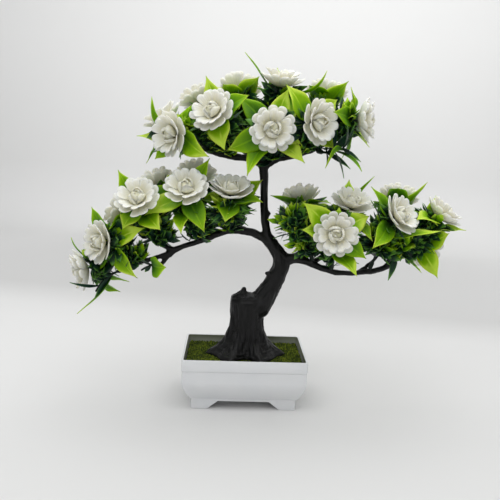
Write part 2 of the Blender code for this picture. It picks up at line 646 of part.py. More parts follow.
def just_off(corners, frame):
    """The corners of a leaf's root, drawn together and moved a little off the stem."""
    middle = frame.translation
    out = frame.to_3x3().col[0]
    return [middle + 0.7 * (corner - middle) + 0.4 * out for corner in corners]


def leaf_frame(root, axis, side, shift, pitch):
    """A frame at root. Its +X leaves the axis on the given side, turned by shift, raised by pitch."""
    side = Matrix.Rotation(math.radians(shift), 3, axis) @ side
    pitch = math.radians(pitch)
    x = side * math.cos(pitch) + axis * math.sin(pitch)
    z = axis * math.cos(pitch) - side * math.sin(pitch)
    return Matrix.Translation(root) @ Matrix((x, z.cross(x), z)).transposed().to_4x4()


def pierces(start, end, triangle):
    """Whether the line from start to end passes through the triangle."""
    way = end - start
    hit = intersect_ray_tri(*triangle, way, start)
    return hit is not None and (hit - start).length < way.length


def triangles_cross(a, b):
    """Whether two overlapping triangles truly cross. They may share a side, or meet in a corner."""
    shared = [p for p in a if p in b]
    if len(shared) != 1:
        return not shared
    far_a = [p for p in a if p not in shared]
    far_b = [p for p in b if p not in shared]
    return pierces(*far_a, b) or pierces(*far_b, a)


class LeafyStem:
    """A leafy stem while it is made: a sleeve for its peg, a stem, and nodes with four leaves each."""

    def __init__(self, space, name, end, facing, branch, share):
        self.name = name
        self.space = space
        self.draw = random.Random("leafy_stem_" + name)
        self.leaves = []
        self.used = []
        self.foot_from(end, branch, share)
        blooming = name in BLOOMS
        neck = end - facing * NECK if blooming else end
        whorl = [end - facing * (WHORL_DROP + part * NODE_HEIGHT) for part in (0.5, -0.5)]
        reach = (neck - self.top).length
        nodes = max(2, min(5, round(reach / NODE_SPACING)))
        half = 0.5 * NODE_HEIGHT / reach
        last = 1.0 if blooming else 0.9
        shares = [last * (i + 0.5) / nodes + part for i in range(nodes) for part in (-half, half)]
        for bend in STEM_BENDS:
            path = [bowed(self.top, self.away, neck, facing, bend, share) for share in [0.0, *shares]]
            path += whorl if blooming else []
            stop = end - facing * 0.6 if blooming else end
            points, faces = shell_of(self.sections(path, stop, 1.1 * FIT_GAP), caps=False)
            if space.clear(points, faces):
                break
        space.add(self.name, points, faces)
        self.bm = bmesh.new()
        tip = end + facing * (BLOOM_BORE_DEPTH - FIT_GAP) if blooming else end
        self.rows = loft(self.bm, self.sections(path, tip))
        self.nodes = [5 + 2 * i for i in range(nodes)]
        self.crown = self.nodes.pop() if not blooming else 5 + 2 * nodes

    def foot_from(self, end, branch, share):
        centre, self.away, bark = peg_place(branch, share, end)
        self.foot = centre + self.away * (bark + 1.4 * FIT_GAP)
        self.top = self.foot + self.away * (SLEEVE_LENGTH + 0.8)

    def sections(self, path, tip, grow=0.0):
        """The bored sleeve and the stem that grows from it. A grown stem has no bore."""
        points = [self.foot, self.foot + self.away * SLEEVE_LENGTH, *path, tip]
        radii = [FOOT_RADIUS, SLEEVE_RADIUS] + [STEM_RADIUS] * len(path) + [STEM_END]
        directions = [self.away, self.away] + directions_of(path + [tip])
        if not grow:
            points = [self.foot + self.away * SLEEVE_BORE_DEPTH, self.foot] + points
            radii = [SLEEVE_BORE, SLEEVE_BORE] + radii
            directions = [self.away, self.away] + directions
        return sweep(points, directions, [r + grow for r in radii])

    def free_sides(self, row):
        """The sides of a node with no leaf yet, each as its square of vertices, root and way out,
        with the node's axis."""
        low, high = self.rows[row], self.rows[row + 1]
        below = sum((v.co for v in low), Vector()) / 4
        above = sum((v.co for v in high), Vector()) / 4
        axis = (above - below).normalized()
        for k in range(4):
            square = [low[k], low[k - 3], high[k - 3], high[k]]
            root = sum((v.co for v in square), Vector()) / 4
            if set(square) not in self.used:
                yield square, root, (root - (above + below) / 2).normalized(), axis

    def grow_leaves(self, row, kind):
        """Lays a leaf on each free side of a node."""
        rows, lengths, widths, pitches, arches = kind
        for square, root, side, axis in self.free_sides(row):
            way = (side, axis, self.draw.uniform(-14, 14), self.draw.uniform(*pitches))
            size = (self.draw.uniform(*lengths), self.draw.uniform(*widths), self.draw.uniform(*arches))
            self.search_lay(square, root, way, rows, size)

    def aim_leaf(self, kind, tip):
        """Lays a leaf that ends at the given tip, or behind it where that isn't clear."""
        rows, _, widths, _, arches = kind
        width, arch = self.draw.uniform(*widths), self.draw.uniform(*arches)
        for narrower, depth in itertools.product(AIM_WIDTHS, AIM_DEPTHS):
            if self.reach_tip(tip + Vector((0, depth, 0)), rows, width * narrower, arch):
                return

    def reach_tip(self, tip, rows, width, arch):
        """Lays a leaf that ends at the tip, from the side of a node that best faces it, if it can."""
        sides = [side for row in (self.crown, *self.nodes) for side in self.free_sides(row)]
        sides.sort(key=lambda side: (tip - side[1]).normalized().dot(side[2]), reverse=True)
        for (square, root, side, axis), bow in itertools.product(sides, AIM_BOWS):
            reach = tip - root
            flat = reach - axis * reach.dot(axis)
            shift = math.degrees(math.atan2(axis.dot(side.cross(flat)), side.dot(flat)))
            if abs(shift) > AIM_TURN:
                continue
            rise = math.degrees(math.asin(reach.normalized().dot(axis)) + math.atan(arch * bow))
            frame = leaf_frame(root, axis, side, shift, rise)
            if self.lay(square, (rows, reach.length, width, arch * bow, frame)):
                return True
        return False

    def search_lay(self, square, root, way, rows, size):
        """Lays a leaf the most natural way that is clear, or not at all."""
        side, axis, shift, pitch = way
        length, width, arch = size
        for share, lift, turn in itertools.product(LEAF_SIZES, LEAF_LIFTS, LEAF_TURNS):
            frame = leaf_frame(root, axis, side, shift + turn, pitch + lift)
            if self.lay(square, (rows, length * share, width * share, arch, frame)):
                break

    def lay(self, square, shape):
        """Draws a leaf of this shape out of the stem where that is clear, and says whether it was."""
        corners = [v.co.copy() for v in square]
        sections = leaf_sections(*shape)
        off_root = just_off(corners, shape[-1])
        if not self.clear_of_others(corners, shape) or not self.clear_of_own(square, off_root, shape):
            return False
        self.space.add(self.name, *shell_of([corners] + sections, caps=False))
        self.leaves.append(BVHTree.FromPolygons(*shell_of([off_root] + sections)))
        draw_out(self.bm, square, sections)
        self.used.append(set(square))
        return True

    def clear_of_others(self, corners, shape):
        """Whether the leaf, grown by its clearance, meets no other piece."""
        middle = shape[-1].translation
        wide = [corner + (corner - middle).normalized() * LEAF_CLEARANCE for corner in corners]
        grown = shell_of([wide] + leaf_sections(*shape, LEAF_CLEARANCE), caps=False)
        return self.space.clear(*grown, but=self.name)

    def clear_of_own(self, square, off_root, shape):
        """Whether the leaf keeps off this stem's other leaves, and its skin crosses nowhere."""
        tree = BVHTree.FromPolygons(*shell_of([off_root] + leaf_sections(*shape, 0.25)))
        if any(leaf.overlap(tree) for leaf in self.leaves):
            return False
        points, faces = shell_of([[v.co for v in square]] + leaf_sections(*shape), caps=False)
        self.bm.verts.index_update()
        held = [v.co for v in self.bm.verts]
        others = [[v.index for v in f.verts] for f in self.bm.faces if not set(f.verts) <= set(square)]
        near = BVHTree.FromPolygons(held, others).overlap(BVHTree.FromPolygons(points, faces))
        return not any(triangles_cross([held[k] for k in others[i]], [points[k] for k in faces[j]])
                       for i, j in near)

    def finish(self, material, collection):
        name = "leafy_stem_" + self.name
        return solid(name, mesh_from(self.bm, name), material, collection)


def draw_out(bm, square, sections):
    """Opens the stem's skin at a square of vertices and draws it out through sections to a tip."""
    within = [f for f in square[0].link_faces if set(f.verts) <= set(square)]
    within += [f for f in square[2].link_faces if set(f.verts) <= set(square) and f not in within]
    for face in within:
        bm.faces.remove(face)
    low = square
    for section in sections:
        high = [bm.verts.new(point) for point in section]
        skin(bm, low, high)
        low = high


def make_leafy_stems(space, material, collection):
    """Sets every stem first, then the leaves that make the outline, then the broad leaves under the
    blooms, then the narrow blades."""
    stems = [LeafyStem(space, *row) for row in carried_stems()]
    for stem in stems:
        for kind, tip in AIMED_LEAVES.get(stem.name, ()):
            stem.aim_leaf(kind, Vector(tip))
    for stem in stems:
        if stem.name not in SPARSE_SPRAYS:
            stem.grow_leaves(stem.crown, BLADE if stem.name in SPRAYS else BROAD_LEAF)
    for stem in stems:
        for row in stem.nodes:
            stem.grow_leaves(row, SHORT_BLADE if stem.name in SPARSE_SPRAYS else BLADE)
    return [stem.finish(material, collection) for stem in stems]


def set_origin(collection):
    """Puts the row's origin on the surface, under the middle of the plan's box."""
    holder = bpy.data.objects.new("camellia_bonsai_origin", None)
    collection.objects.link(holder)
    pieces = [obj for obj in collection.objects if obj.type == "MESH"]
    corners = [obj.matrix_world @ v.co for obj in pieces for v in obj.data.vertices]
    for k in range(2):
        holder.location[k] = -(min(c[k] for c in corners) + max(c[k] for c in corners)) / 2
    for obj in pieces:
        obj.parent = holder


def main():
    for obj in list(bpy.data.objects):
        bpy.data.objects.remove(obj)
    bonsai = bodies_in("camellia_bonsai")
    space = Space()
    space.add_object(make_pot(plastic("white_pot_plastic", (0.86, 0.87, 0.88), 0.3), bonsai))
    make_filler(plastic("cast_cement", (0.45, 0.44, 0.42), 0.9), bonsai)
    space.add_object(make_moss(plastic("flocked_moss", (0.10, 0.16, 0.02), 0.95), bonsai))
    space.add_object(make_trunk(plastic("black_trunk_plastic", (0.012, 0.012, 0.014), 0.5), bonsai))
    for bloom in make_blooms(plastic("white_petal_foam", (0.88, 0.87, 0.82), 0.6), bonsai):
        space.add_object(bloom)
    make_leafy_stems(space, plastic("green_leaf_plastic", (0.13, 0.30, 0.02), 0.4), bonsai)
    set_origin(bonsai)


main()
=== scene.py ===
# %% [markdown]
# # An artificial camellia bonsai
# The object is a small decoration that never needs water: a black moulded trunk, stems with green
# leaves pushed on to its pegs, a white bloom on nearly every stem, and a white footed pot with
# flocked moss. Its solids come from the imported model, the frame. Each step below takes one kind of
# piece from the frame and makes the finer one that a camera should see, in the same place.

import math
import random

import bmesh
import bpy
import numpy as np
from mathutils import Matrix, Vector
from mathutils.bvhtree import BVHTree


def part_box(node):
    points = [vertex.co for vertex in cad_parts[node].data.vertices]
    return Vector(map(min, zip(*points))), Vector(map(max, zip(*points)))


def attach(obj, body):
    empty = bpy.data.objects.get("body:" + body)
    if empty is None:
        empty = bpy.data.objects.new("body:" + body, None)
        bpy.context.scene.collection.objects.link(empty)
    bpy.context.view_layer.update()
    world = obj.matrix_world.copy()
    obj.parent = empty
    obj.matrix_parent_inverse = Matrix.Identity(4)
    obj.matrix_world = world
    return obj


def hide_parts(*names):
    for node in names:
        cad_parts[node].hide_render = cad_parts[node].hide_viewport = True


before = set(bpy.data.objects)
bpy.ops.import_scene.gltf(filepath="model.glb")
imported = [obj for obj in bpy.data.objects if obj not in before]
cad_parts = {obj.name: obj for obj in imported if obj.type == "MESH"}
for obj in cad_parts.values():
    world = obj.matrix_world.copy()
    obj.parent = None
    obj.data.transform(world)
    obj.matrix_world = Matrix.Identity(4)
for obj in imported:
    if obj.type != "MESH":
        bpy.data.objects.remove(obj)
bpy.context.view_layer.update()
MM = 0.001
pot_low, pot_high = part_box("pot")
pot_centre = (pot_low + pot_high) / 2


def new_object(name, data):
    """A new object in the scene that holds this data."""
    obj = bpy.data.objects.new(name, data)
    bpy.context.scene.collection.objects.link(obj)
    return obj


def mesh_object(name, points, faces):
    """A new mesh object with these points and faces."""
    mesh = bpy.data.meshes.new(name)
    mesh.from_pydata([tuple(p) for p in points], [], faces)
    return new_object(name, mesh)


def bmesh_object(name, bm):
    """A new mesh object with what the bmesh holds. The bmesh is freed."""
    obj = mesh_object(name, [], [])
    bm.to_mesh(obj.data)
    bm.free()
    return obj


def use_smooth(mesh):
    mesh.polygons.foreach_set("use_smooth", [True] * len(mesh.polygons))


def note(mesh, name, values):
    """Keeps one number for each point of the mesh under this name, for the materials to read."""
    mesh.attributes.new(name, "FLOAT", "POINT").data.foreach_set("value", values)


def rounded(corners):
    return [[round(c / MM, 1) for c in corner] for corner in corners]


print("frame:", len(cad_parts), "nodes, pot box", rounded((pot_low, pot_high)))

# %% [markdown]
# ## Where the camera stands
# The photograph was taken from about 17 cm above the table and 40 cm away. Placing a camera by eye
# rarely works. Here six corners of the pot, four at its rim and two at its front feet, gave the
# place and the three angles, for a lens that was chosen: anything from 560 to 720 pixels fits them
# about as well as the 620 below. The place is kept from the middle of the pot. A camera looks along
# its own -Z, so the three columns of its matrix are right, up and backwards.

# %% Camera
CAMERA_FROM_POT = Vector((-13.9, -399.0, 169.74)) * MM
YAW, PITCH, ROLL = (math.radians(a) for a in (2.212, 9.801, 2.165))
FOCAL_PIXELS = 620.0
IMAGE_PIXELS = 500.0

forward = Vector((math.sin(YAW) * math.cos(PITCH), math.cos(YAW) * math.cos(PITCH), -math.sin(PITCH)))
level = Vector((math.cos(YAW), -math.sin(YAW), 0))
upright = level.cross(forward)
right = math.cos(ROLL) * level + math.sin(ROLL) * upright
up = math.cos(ROLL) * upright - math.sin(ROLL) * level
camera_data = bpy.data.cameras.new("camera")
camera_data.sensor_width = 36.0
camera_data.lens = FOCAL_PIXELS / IMAGE_PIXELS * camera_data.sensor_width
camera_data.clip_start = 0.01
camera = new_object("camera", camera_data)
camera.matrix_world = Matrix((right, up, -forward)).transposed().to_4x4()
camera.location = Vector((pot_centre.x, pot_centre.y, 0)) + CAMERA_FROM_POT
bpy.context.scene.camera = camera
print("camera: lens", round(camera_data.lens, 1), "mm at", [round(c, 3) for c in camera.location])

# %% [markdown]
# ## Helpers for materials
# Colours are written as the hex values that a paint program shows, which are sRGB. Shaders count in
# linear light, so one function turns each value over. A second one adds a node to a node tree, sets
# it up and joins its sockets, and it serves shaders and geometry alike. The others use it for what
# most materials here need: arithmetic, cloudy noise, stripes, a relief, and light that spreads
# below the surface. Sizes are in real millimetres.

# %% Helpers for colours and nodes
def linear(hex_colour):
    """The linear RGBA of an sRGB hex value such as F1EFE9."""
    parts = [int(hex_colour[i:i + 2], 16) / 255 for i in (0, 2, 4)]
    return (*(p / 12.92 if p <= 0.04045 else ((p + 0.055) / 1.055) ** 2.4 for p in parts), 1.0)


def fill(node, inputs):
    """Sets inputs of the node. A socket given in place of a value is linked to the input."""
    for key, value in inputs.items():
        if isinstance(value, bpy.types.NodeSocket):
            node.id_data.links.new(value, node.inputs[key])
        else:
            node.inputs[key].default_value = value


def add(tree, kind, inputs=None, **settings):
    """A new node of this kind, with these inputs and settings."""
    node = tree.nodes.new(kind)
    for key, value in settings.items():
        setattr(node, key, value)
    fill(node, inputs or {})
    return node


def calc(tree, operation, *values, kind="ShaderNodeMath"):
    """The result of one operation on values and sockets."""
    return add(tree, kind, dict(enumerate(values)), operation=operation).outputs[0]


def object_place(tree):
    return add(tree, "ShaderNodeTexCoord").outputs["Object"]


def noted(tree, name):
    """The number that each point keeps under this name."""
    return add(tree, "ShaderNodeAttribute", attribute_name=name).outputs["Fac"]


def noise(tree, size_mm, detail, roughness=0.5):
    """Cloudy noise from 0 to 1, with features of this size."""
    return add(tree, "ShaderNodeTexNoise", {"Vector": object_place(tree), "Scale": 1 / (size_mm * MM),
                                            "Detail": detail, "Roughness": roughness}).outputs["Fac"]


def stripes(tree, run, scale, distortion, detail):
    """Soft stripes that follow each other as the number grows."""
    vector = add(tree, "ShaderNodeCombineXYZ", {"X": run}).outputs[0]
    return add(tree, "ShaderNodeTexWave", {"Vector": vector, "Scale": scale, "Distortion": distortion,
                                           "Detail": detail}).outputs["Fac"]


def scatter(weight, radius, depth_mm):
    """Shader inputs for light that spreads below the surface."""
    return {"Subsurface Weight": weight, "Subsurface Radius": radius, "Subsurface Scale": depth_mm * MM}


def relief(tree, height, strength, depth_mm, **under):
    """The normals of a surface with this relief. Another relief's normals may lie under it."""
    return add(tree, "ShaderNodeBump", {"Height": height, "Strength": strength, "Distance": depth_mm * MM,
                                        **under}).outputs["Normal"]


def ramp(tree, factor, *stops):
    """A colour ramp over the factor, with stops as (place, sRGB hex)."""
    node = add(tree, "ShaderNodeValToRGB", {0: factor})
    first, last = node.color_ramp.elements
    first.position, last.position = stops[0][0], stops[-1][0]
    for place, _ in stops[1:-1]:
        node.color_ramp.elements.new(place)
    for element, (_, colour) in zip(node.color_ramp.elements, stops):
        element.color = linear(colour)
    return node.outputs["Color"]


def start_material(name, roughness, ior=1.46):
    """A Principled material with no pattern yet, as (material, tree, shader)."""
    material = bpy.data.materials.new(name)
    material.use_nodes = True
    shader = material.node_tree.nodes["Principled BSDF"]
    fill(shader, {"Roughness": roughness, "IOR": ior})
    return material, material.node_tree, shader

# %% [markdown]
# ## The floor, the wall and the light
# Small goods are photographed on a sheet that lies on the table and curves up behind them, so that no
# edge shows. The sheet is one strip that lies flat under the pot and, from 62 cm behind it, bends up
# into a wall. It is stage, not part of the object. The photograph has a grey band behind the pot,
# between a bright floor and a bright wall, and the paper's tone follows that with painted shade: a
# grey band painted on the floor behind the pot, lighter again up the wall, and a painted soft shadow
# of the plant round a spot further back. Three soft lamps and a pale sky light it: a large one
# overhead, as in a light tent, which leaves the short, faint shadows of the photograph, a weak one
# from the front, and a long one that faces the wall. The colours are shown through the plain sRGB
# transform.

# %% Sheet, lights and sky
SHEET_BEND_START = 0.62
SHEET_BEND_RADIUS = 0.12
SHEET_BEND_STEPS = 24
SHEET_FRONT, SHEET_TOP, SHEET_HALF_WIDTH = -1.8, 1.3, 1.8
SHEET_TURN = math.radians(-13.5)  # it stands a little askew behind the pot
SHEET_RUN = 1.5  # metres along the sheet, back from the pot and up, that the tones below span


def make_sheet():
    profile = [(SHEET_FRONT, 0.0), (-0.4, 0.0)]
    for i in range(SHEET_BEND_STEPS + 1):
        angle = math.pi / 2 * i / SHEET_BEND_STEPS
        profile.append((SHEET_BEND_START + SHEET_BEND_RADIUS * math.sin(angle),
                        SHEET_BEND_RADIUS * (1 - math.cos(angle))))
    profile.append((SHEET_BEND_START + SHEET_BEND_RADIUS, SHEET_TOP))
    turn = Matrix.Rotation(SHEET_TURN, 3, "Z")
    points = [turn @ Vector((side * SHEET_HALF_WIDTH, y, z)) + Vector((pot_centre.x, pot_centre.y, 0))
              for y, z in profile for side in (-1, 1)]
    faces = [(2 * i, 2 * i + 1, 2 * i + 3, 2 * i + 2) for i in range(len(profile) - 1)]
    sheet = mesh_object("backdrop_sheet", points, faces)
    use_smooth(sheet.data)
    return sheet


def make_lamp(name, width, height, energy, place, target):
    lamp = bpy.data.lights.new(name, "AREA")
    lamp.shape = "RECTANGLE"
    lamp.size, lamp.size_y, lamp.energy = width, height, energy
    obj = new_object(name, lamp)
    obj.location = place
    obj.rotation_euler = (Vector(target) - Vector(place)).to_track_quat("-Z", "Y").to_euler()


paper, tree, shader = start_material("matt_backdrop_paper", 0.9)
place = add(tree, "ShaderNodeSeparateXYZ", {0: object_place(tree)}).outputs
across = calc(tree, "MULTIPLY", place["X"], -math.sin(SHEET_TURN))
depth = calc(tree, "MULTIPLY_ADD", place["Y"], math.cos(SHEET_TURN), across)
run = calc(tree, "ADD", depth, place["Z"])
run = calc(tree, "MULTIPLY_ADD", noise(tree, 60.0, 2.0), 0.015, run)
run = calc(tree, "MULTIPLY", run, 1 / SHEET_RUN)
# Painted shade: the tones run from the floor under the pot to a grey band painted on the floor behind it, and
# grow lighter again up the wall.
tone = ramp(tree, run, (0.0, "DADAD9"), (0.18 / SHEET_RUN, "D1D1D0"), (0.26 / SHEET_RUN, "C2C2C1"),
            (0.5 / SHEET_RUN, "D0D0CF"), (0.74 / SHEET_RUN, "E0E0DF"), (1.1 / SHEET_RUN, "E6E6E5"))
# Painted shadow: the paper darkens round a spot behind the pot, as a soft shadow of the plant.
painted_shadow_middle = (pot_centre.x + 0.03, pot_centre.y + 0.5, 0.0)
away = add(tree, "ShaderNodeVectorMath", {0: object_place(tree), 1: painted_shadow_middle}, operation="DISTANCE")
painted_shadow = ramp(tree, away.outputs["Value"], (0.05, "E4E4E4"), (0.4, "FFFFFF"))
tone_with_painted_shadow = add(tree, "ShaderNodeMix", {0: 1.0, 6: tone, 7: painted_shadow}, data_type="RGBA", blend_type="MULTIPLY")
fill(shader, {"Base Color": tone_with_painted_shadow.outputs[2]})
sheet = make_sheet()
sheet.data.materials.append(paper)

centre = Vector((pot_centre.x, pot_centre.y, 0.10))
for name, width, height, energy, place, target in (
        ("overhead_softbox", 0.9, 0.9, 4.9, (0.0, 0.0, 0.55), (0.0, 0.12, 0.0)),
        ("front_softbox", 0.8, 0.8, 1.4, (-0.30, -0.95, 0.45), (0.0, 0.0, 0.0)),
        ("wall_softbox", 1.5, 0.3, 2.4, (-0.20, 0.15, 0.55), (-0.12, 0.75, 0.34))):
    make_lamp(name, width, height, energy, centre + Vector(place), centre + Vector(target))
world = bpy.data.worlds.new("pale_room")
bpy.context.scene.world = world
world.use_nodes = True
fill(world.node_tree.nodes["Background"], {"Color": linear("F4F5F7"), "Strength": 0.41})
bpy.context.scene.view_settings.view_transform = "Standard"
print("stage:", len(sheet.data.polygons), "faces in the sheet, 3 lamps")

# %% [markdown]
# ## Reading a leaf out of the frame
# The frame keeps each leafy stem as one solid, with a few plain leaves. A leaf there is a row or two
# of four points and a pointed tip. The tip is easy to find: four faces meet there, and their angles
# add up to much less than the full turn of a flat place. Going out from it face by face, the next
# points come four at a time, until the stem begins. These rows tell where a leaf stands, how long
# and wide it is, and how it is folded, which is all that a finer leaf needs.

# %% Find the leaves of a stem
TIP_ANGLE = math.radians(235)  # the angles of the faces at a leaf's tip add up to less than this
ROW_SHARES = {1: (0.42,), 2: (0.35, 0.70), "broad": (0.42, 0.73)}
BROAD_SHARE = 0.28  # a leaf wider than this, for its length, is a broad one


def merged_copy(node):
    """The node's mesh as a bmesh, its loose triangles joined."""
    bm = bmesh.new()
    bm.from_mesh(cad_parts[node].data)
    bmesh.ops.remove_doubles(bm, verts=bm.verts, dist=1e-6)
    bm.verts.index_update()
    bm.verts.ensure_lookup_table()
    return bm


def faces_of(bm, start=0, keep=lambda face: True):
    """The faces of a bmesh as tuples of point numbers, which count on from the start."""
    bm.verts.index_update()
    return [tuple(start + v.index for v in f.verts) for f in bm.faces if keep(f)]


def is_tip(vert):
    angles = [loop.calc_angle() for loop in vert.link_loops]
    return len(angles) == 4 and sum(angles) < TIP_ANGLE


def leaf_rows(tip):
    """The rows of four points from the tip to the stem, the last one on the stem. Each is sorted,
    because a set of points has another order in each run, and the sprigs would follow it."""
    seen, rows = {tip}, []
    border = {tip}
    while True:
        border = {e.other_vert(v) for v in border for e in v.link_edges} - seen
        if len(border) != 4:
            return rows
        seen |= border
        rows.append(sorted(border, key=lambda v: v.index))


def split_row(row):
    """The two edge points and the middle of the rib points of a row of four."""
    pairs = [(a, b) for i, a in enumerate(row) for b in row[i + 1:]]
    left, right = max(pairs, key=lambda pair: (pair[0].co - pair[1].co).length)
    rib = [v.co for v in row if v is not left and v is not right]
    return left.co.copy(), right.co.copy(), (rib[0] + rib[1]) / 2


def measure_leaf(tip, rows):
    """Root, forward reach, bend, sideways half width and upward fold of one leaf."""
    root = sum((v.co for v in rows[-1]), Vector()) / 4
    left, right, rib = split_row(rows[-2])
    reach = tip.co - root
    half = (right - left) / 2
    kind = "broad" if len(rows) == 3 and half.length * 2 > BROAD_SHARE * reach.length else len(rows) - 1
    share = ROW_SHARES[kind][0]
    bend = (rib - root - reach * share) / (share * share - share)
    raised = (left + right) / 2 - rib
    if half.cross(reach).dot(raised) < 0:
        half = -half
    return {"kind": {"broad": "leaf", 2: "long", 1: "blade"}[kind], "root": root,
            "slope": reach - bend, "bend": bend, "half": half, "fold": raised.length / half.length}


def read_stem(node):
    """The node's leaves, and its bare stem as a bmesh."""
    bm = merged_copy(node)
    leaves, roots, spent = [], [], set()
    for tip in [v for v in bm.verts if is_tip(v)]:
        rows = leaf_rows(tip)
        if len(rows) >= 2:
            leaves.append(measure_leaf(tip, rows))
            spent |= {tip, *(v for row in rows[:-1] for v in row)}
            roots.append(rows[-1])
    bmesh.ops.delete(bm, geom=sorted(spent, key=lambda v: v.index), context="VERTS")
    for first, *others in roots:
        beside = [v for v in others if bm.edges.get((first, v))]
        opposite = next(v for v in others if v not in beside)
        bm.faces.new((first, beside[0], opposite, beside[1]))
    bmesh.ops.recalc_face_normals(bm, faces=bm.faces)
    return leaves, bm


stem_names = sorted(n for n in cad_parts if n.startswith("leafy_stem"))
stems = {name: read_stem(name) for name in stem_names}
kinds = [leaf["kind"] for leaves, _ in stems.values() for leaf in leaves]
print("leaves read:", {kind: kinds.count(kind) for kind in sorted(set(kinds))},
      "stems still open:", sum(any(e.is_boundary for e in bm.edges) for _, bm in stems.values()))

# %% [markdown]
# ## Closed sheets
# Petals and leaves are thin sheets with two faces. One function takes a grid of points on the
# sheet's middle surface and its thickness, and makes a closed shell: the grid is moved out along
# its normals to both sides, and a strip of faces closes the rim. Every vertex also keeps two
# numbers, how far along the sheet it lies and how far across, which the materials read later.

# %% Shells from grids, and pieces from shells
def grid_normals(grid):
    """Unit normals at each point of a grid of shape rows, columns, 3."""
    normals = np.cross(np.gradient(grid, axis=1), np.gradient(grid, axis=0))
    return normals / np.maximum(np.linalg.norm(normals, axis=2, keepdims=True), 1e-12)


def shell_faces(rows, columns):
    """Quads of a closed shell whose upper grid comes first, then its lower grid."""
    def at(i, j, side):
        return side * rows * columns + i * columns + j
    faces = []
    for i in range(rows - 1):
        for j in range(columns - 1):
            faces.append((at(i, j, 0), at(i, j + 1, 0), at(i + 1, j + 1, 0), at(i + 1, j, 0)))
            faces.append((at(i, j, 1), at(i + 1, j, 1), at(i + 1, j + 1, 1), at(i, j + 1, 1)))
    end, last = rows - 1, columns - 1
    rim = [step for i in range(end) for step in ((i, 0, i + 1, 0), (i + 1, last, i, last))]
    rim += [step for j in range(last) for step in ((0, j + 1, 0, j), (end, j, end, j + 1))]
    faces += [(at(a, b, 0), at(c, d, 0), at(c, d, 1), at(a, b, 1)) for a, b, c, d in rim]
    return faces


def sheet_shell(grid, thickness):
    """Points, faces and the along and across numbers of a sheet with this middle surface."""
    rows, columns = grid.shape[:2]
    offset = grid_normals(grid) * np.broadcast_to(thickness, (rows, columns))[..., None] / 2
    points = np.concatenate([(grid + offset).reshape(-1, 3), (grid - offset).reshape(-1, 3)])
    along, across = np.meshgrid(np.linspace(0, 1, rows), np.linspace(-1, 1, columns), indexing="ij")
    return points, shell_faces(rows, columns), np.tile(along.ravel(), 2), np.tile(across.ravel(), 2)


class Shells:
    """Gathers closed shells that become one piece."""

    def __init__(self):
        self.points, self.faces, self.slots = [], [], []
        self.numbers = {"along": [], "across": [], "tone": []}
        self.count = 0

    def add(self, shell, slot=0, tone=0.5):
        points, faces, along, across = shell
        self.points.append(points)
        self.faces += [tuple(k + self.count for k in face) for face in faces]
        self.slots += [slot] * len(faces)
        self.numbers["along"].append(along)
        self.numbers["across"].append(across)
        self.numbers["tone"].append(np.full(len(points), tone))
        self.count += len(points)

    def piece(self, name, materials):
        """The gathered shells as a mesh object with smooth faces and three point attributes."""
        obj = mesh_object(name, np.concatenate(self.points), self.faces)
        for key, values in self.numbers.items():
            note(obj.data, key, np.concatenate(values))
        for material in materials:
            obj.data.materials.append(material)
        obj.data.polygons.foreach_set("material_index", self.slots)
        use_smooth(obj.data)
        obj.data.update()
        return obj


def triangles(obj):
    return sum(len(face.vertices) - 2 for face in obj.data.polygons)

# %% [markdown]
# ## The white petals
# The blooms look like soft white foam, pressed warm into shape. Foam has no gloss to speak of, lets
# a little light through, and looks creamier where the layers lie deep over each other. So the
# material has a rough surface, some light scattered below it, and a colour that turns from cream at
# the middle to white at the rim, with faint pressed folds along it. The darker cream at the middle is
# partly the foam's own colour and partly painted shade where the layers lie deep.

# %% Petal foam
petal_foam, tree, shader = start_material("pressed_white_foam", 0.62, 1.45)
depth = calc(tree, "ADD", noted(tree, "along"), calc(tree, "MULTIPLY", noise(tree, 5.0, 3.0), 0.18))
folds = relief(tree, stripes(tree, noted(tree, "across"), 1.1, 1.2, 2.0), 0.25, 0.3)
# Cream to white along the petal: partly the foam's colour, partly painted shade towards the middle.
creams_and_painted_shade = (0.05, "DAD4AC"), (0.35, "DAD7BA"), (0.75, "DFDDCB"), (1.0, "EAE9DE")
fill(shader, {"Base Color": ramp(tree, depth, *creams_and_painted_shade), "Specular IOR Level": 0.3,
              **scatter(0.6, (1.0, 0.9, 0.7), 3.0),
              "Normal": relief(tree, noise(tree, 0.5, 2.0), 0.2, 0.05, Normal=folds)})
print("petal material:", len(tree.nodes), "nodes")

# %% [markdown]
# ## The blooms
# Each bloom has an outer and an inner layer of six petals, each petal with two round lobes, and a
# bud of a few rolled petals. A petal is a sheet whose rows run out from the middle. Its far row
# follows the lobes, and its sides lie a little over one neighbour and a little under the other. The
# frame's plain bloom gives the place: its thinnest direction is the way it faces, its lowest point
# is the base, and its six-fold pattern of rim points gives the turn. Every petal gets its own
# small error, so no two blooms look alike.

# %% Where each bloom stands
PETALS = 6
BLOOM_RIM, BLOOM_CORE = 13.0 * MM, 4.5 * MM  # rim points lie beyond the one, the bud within the other


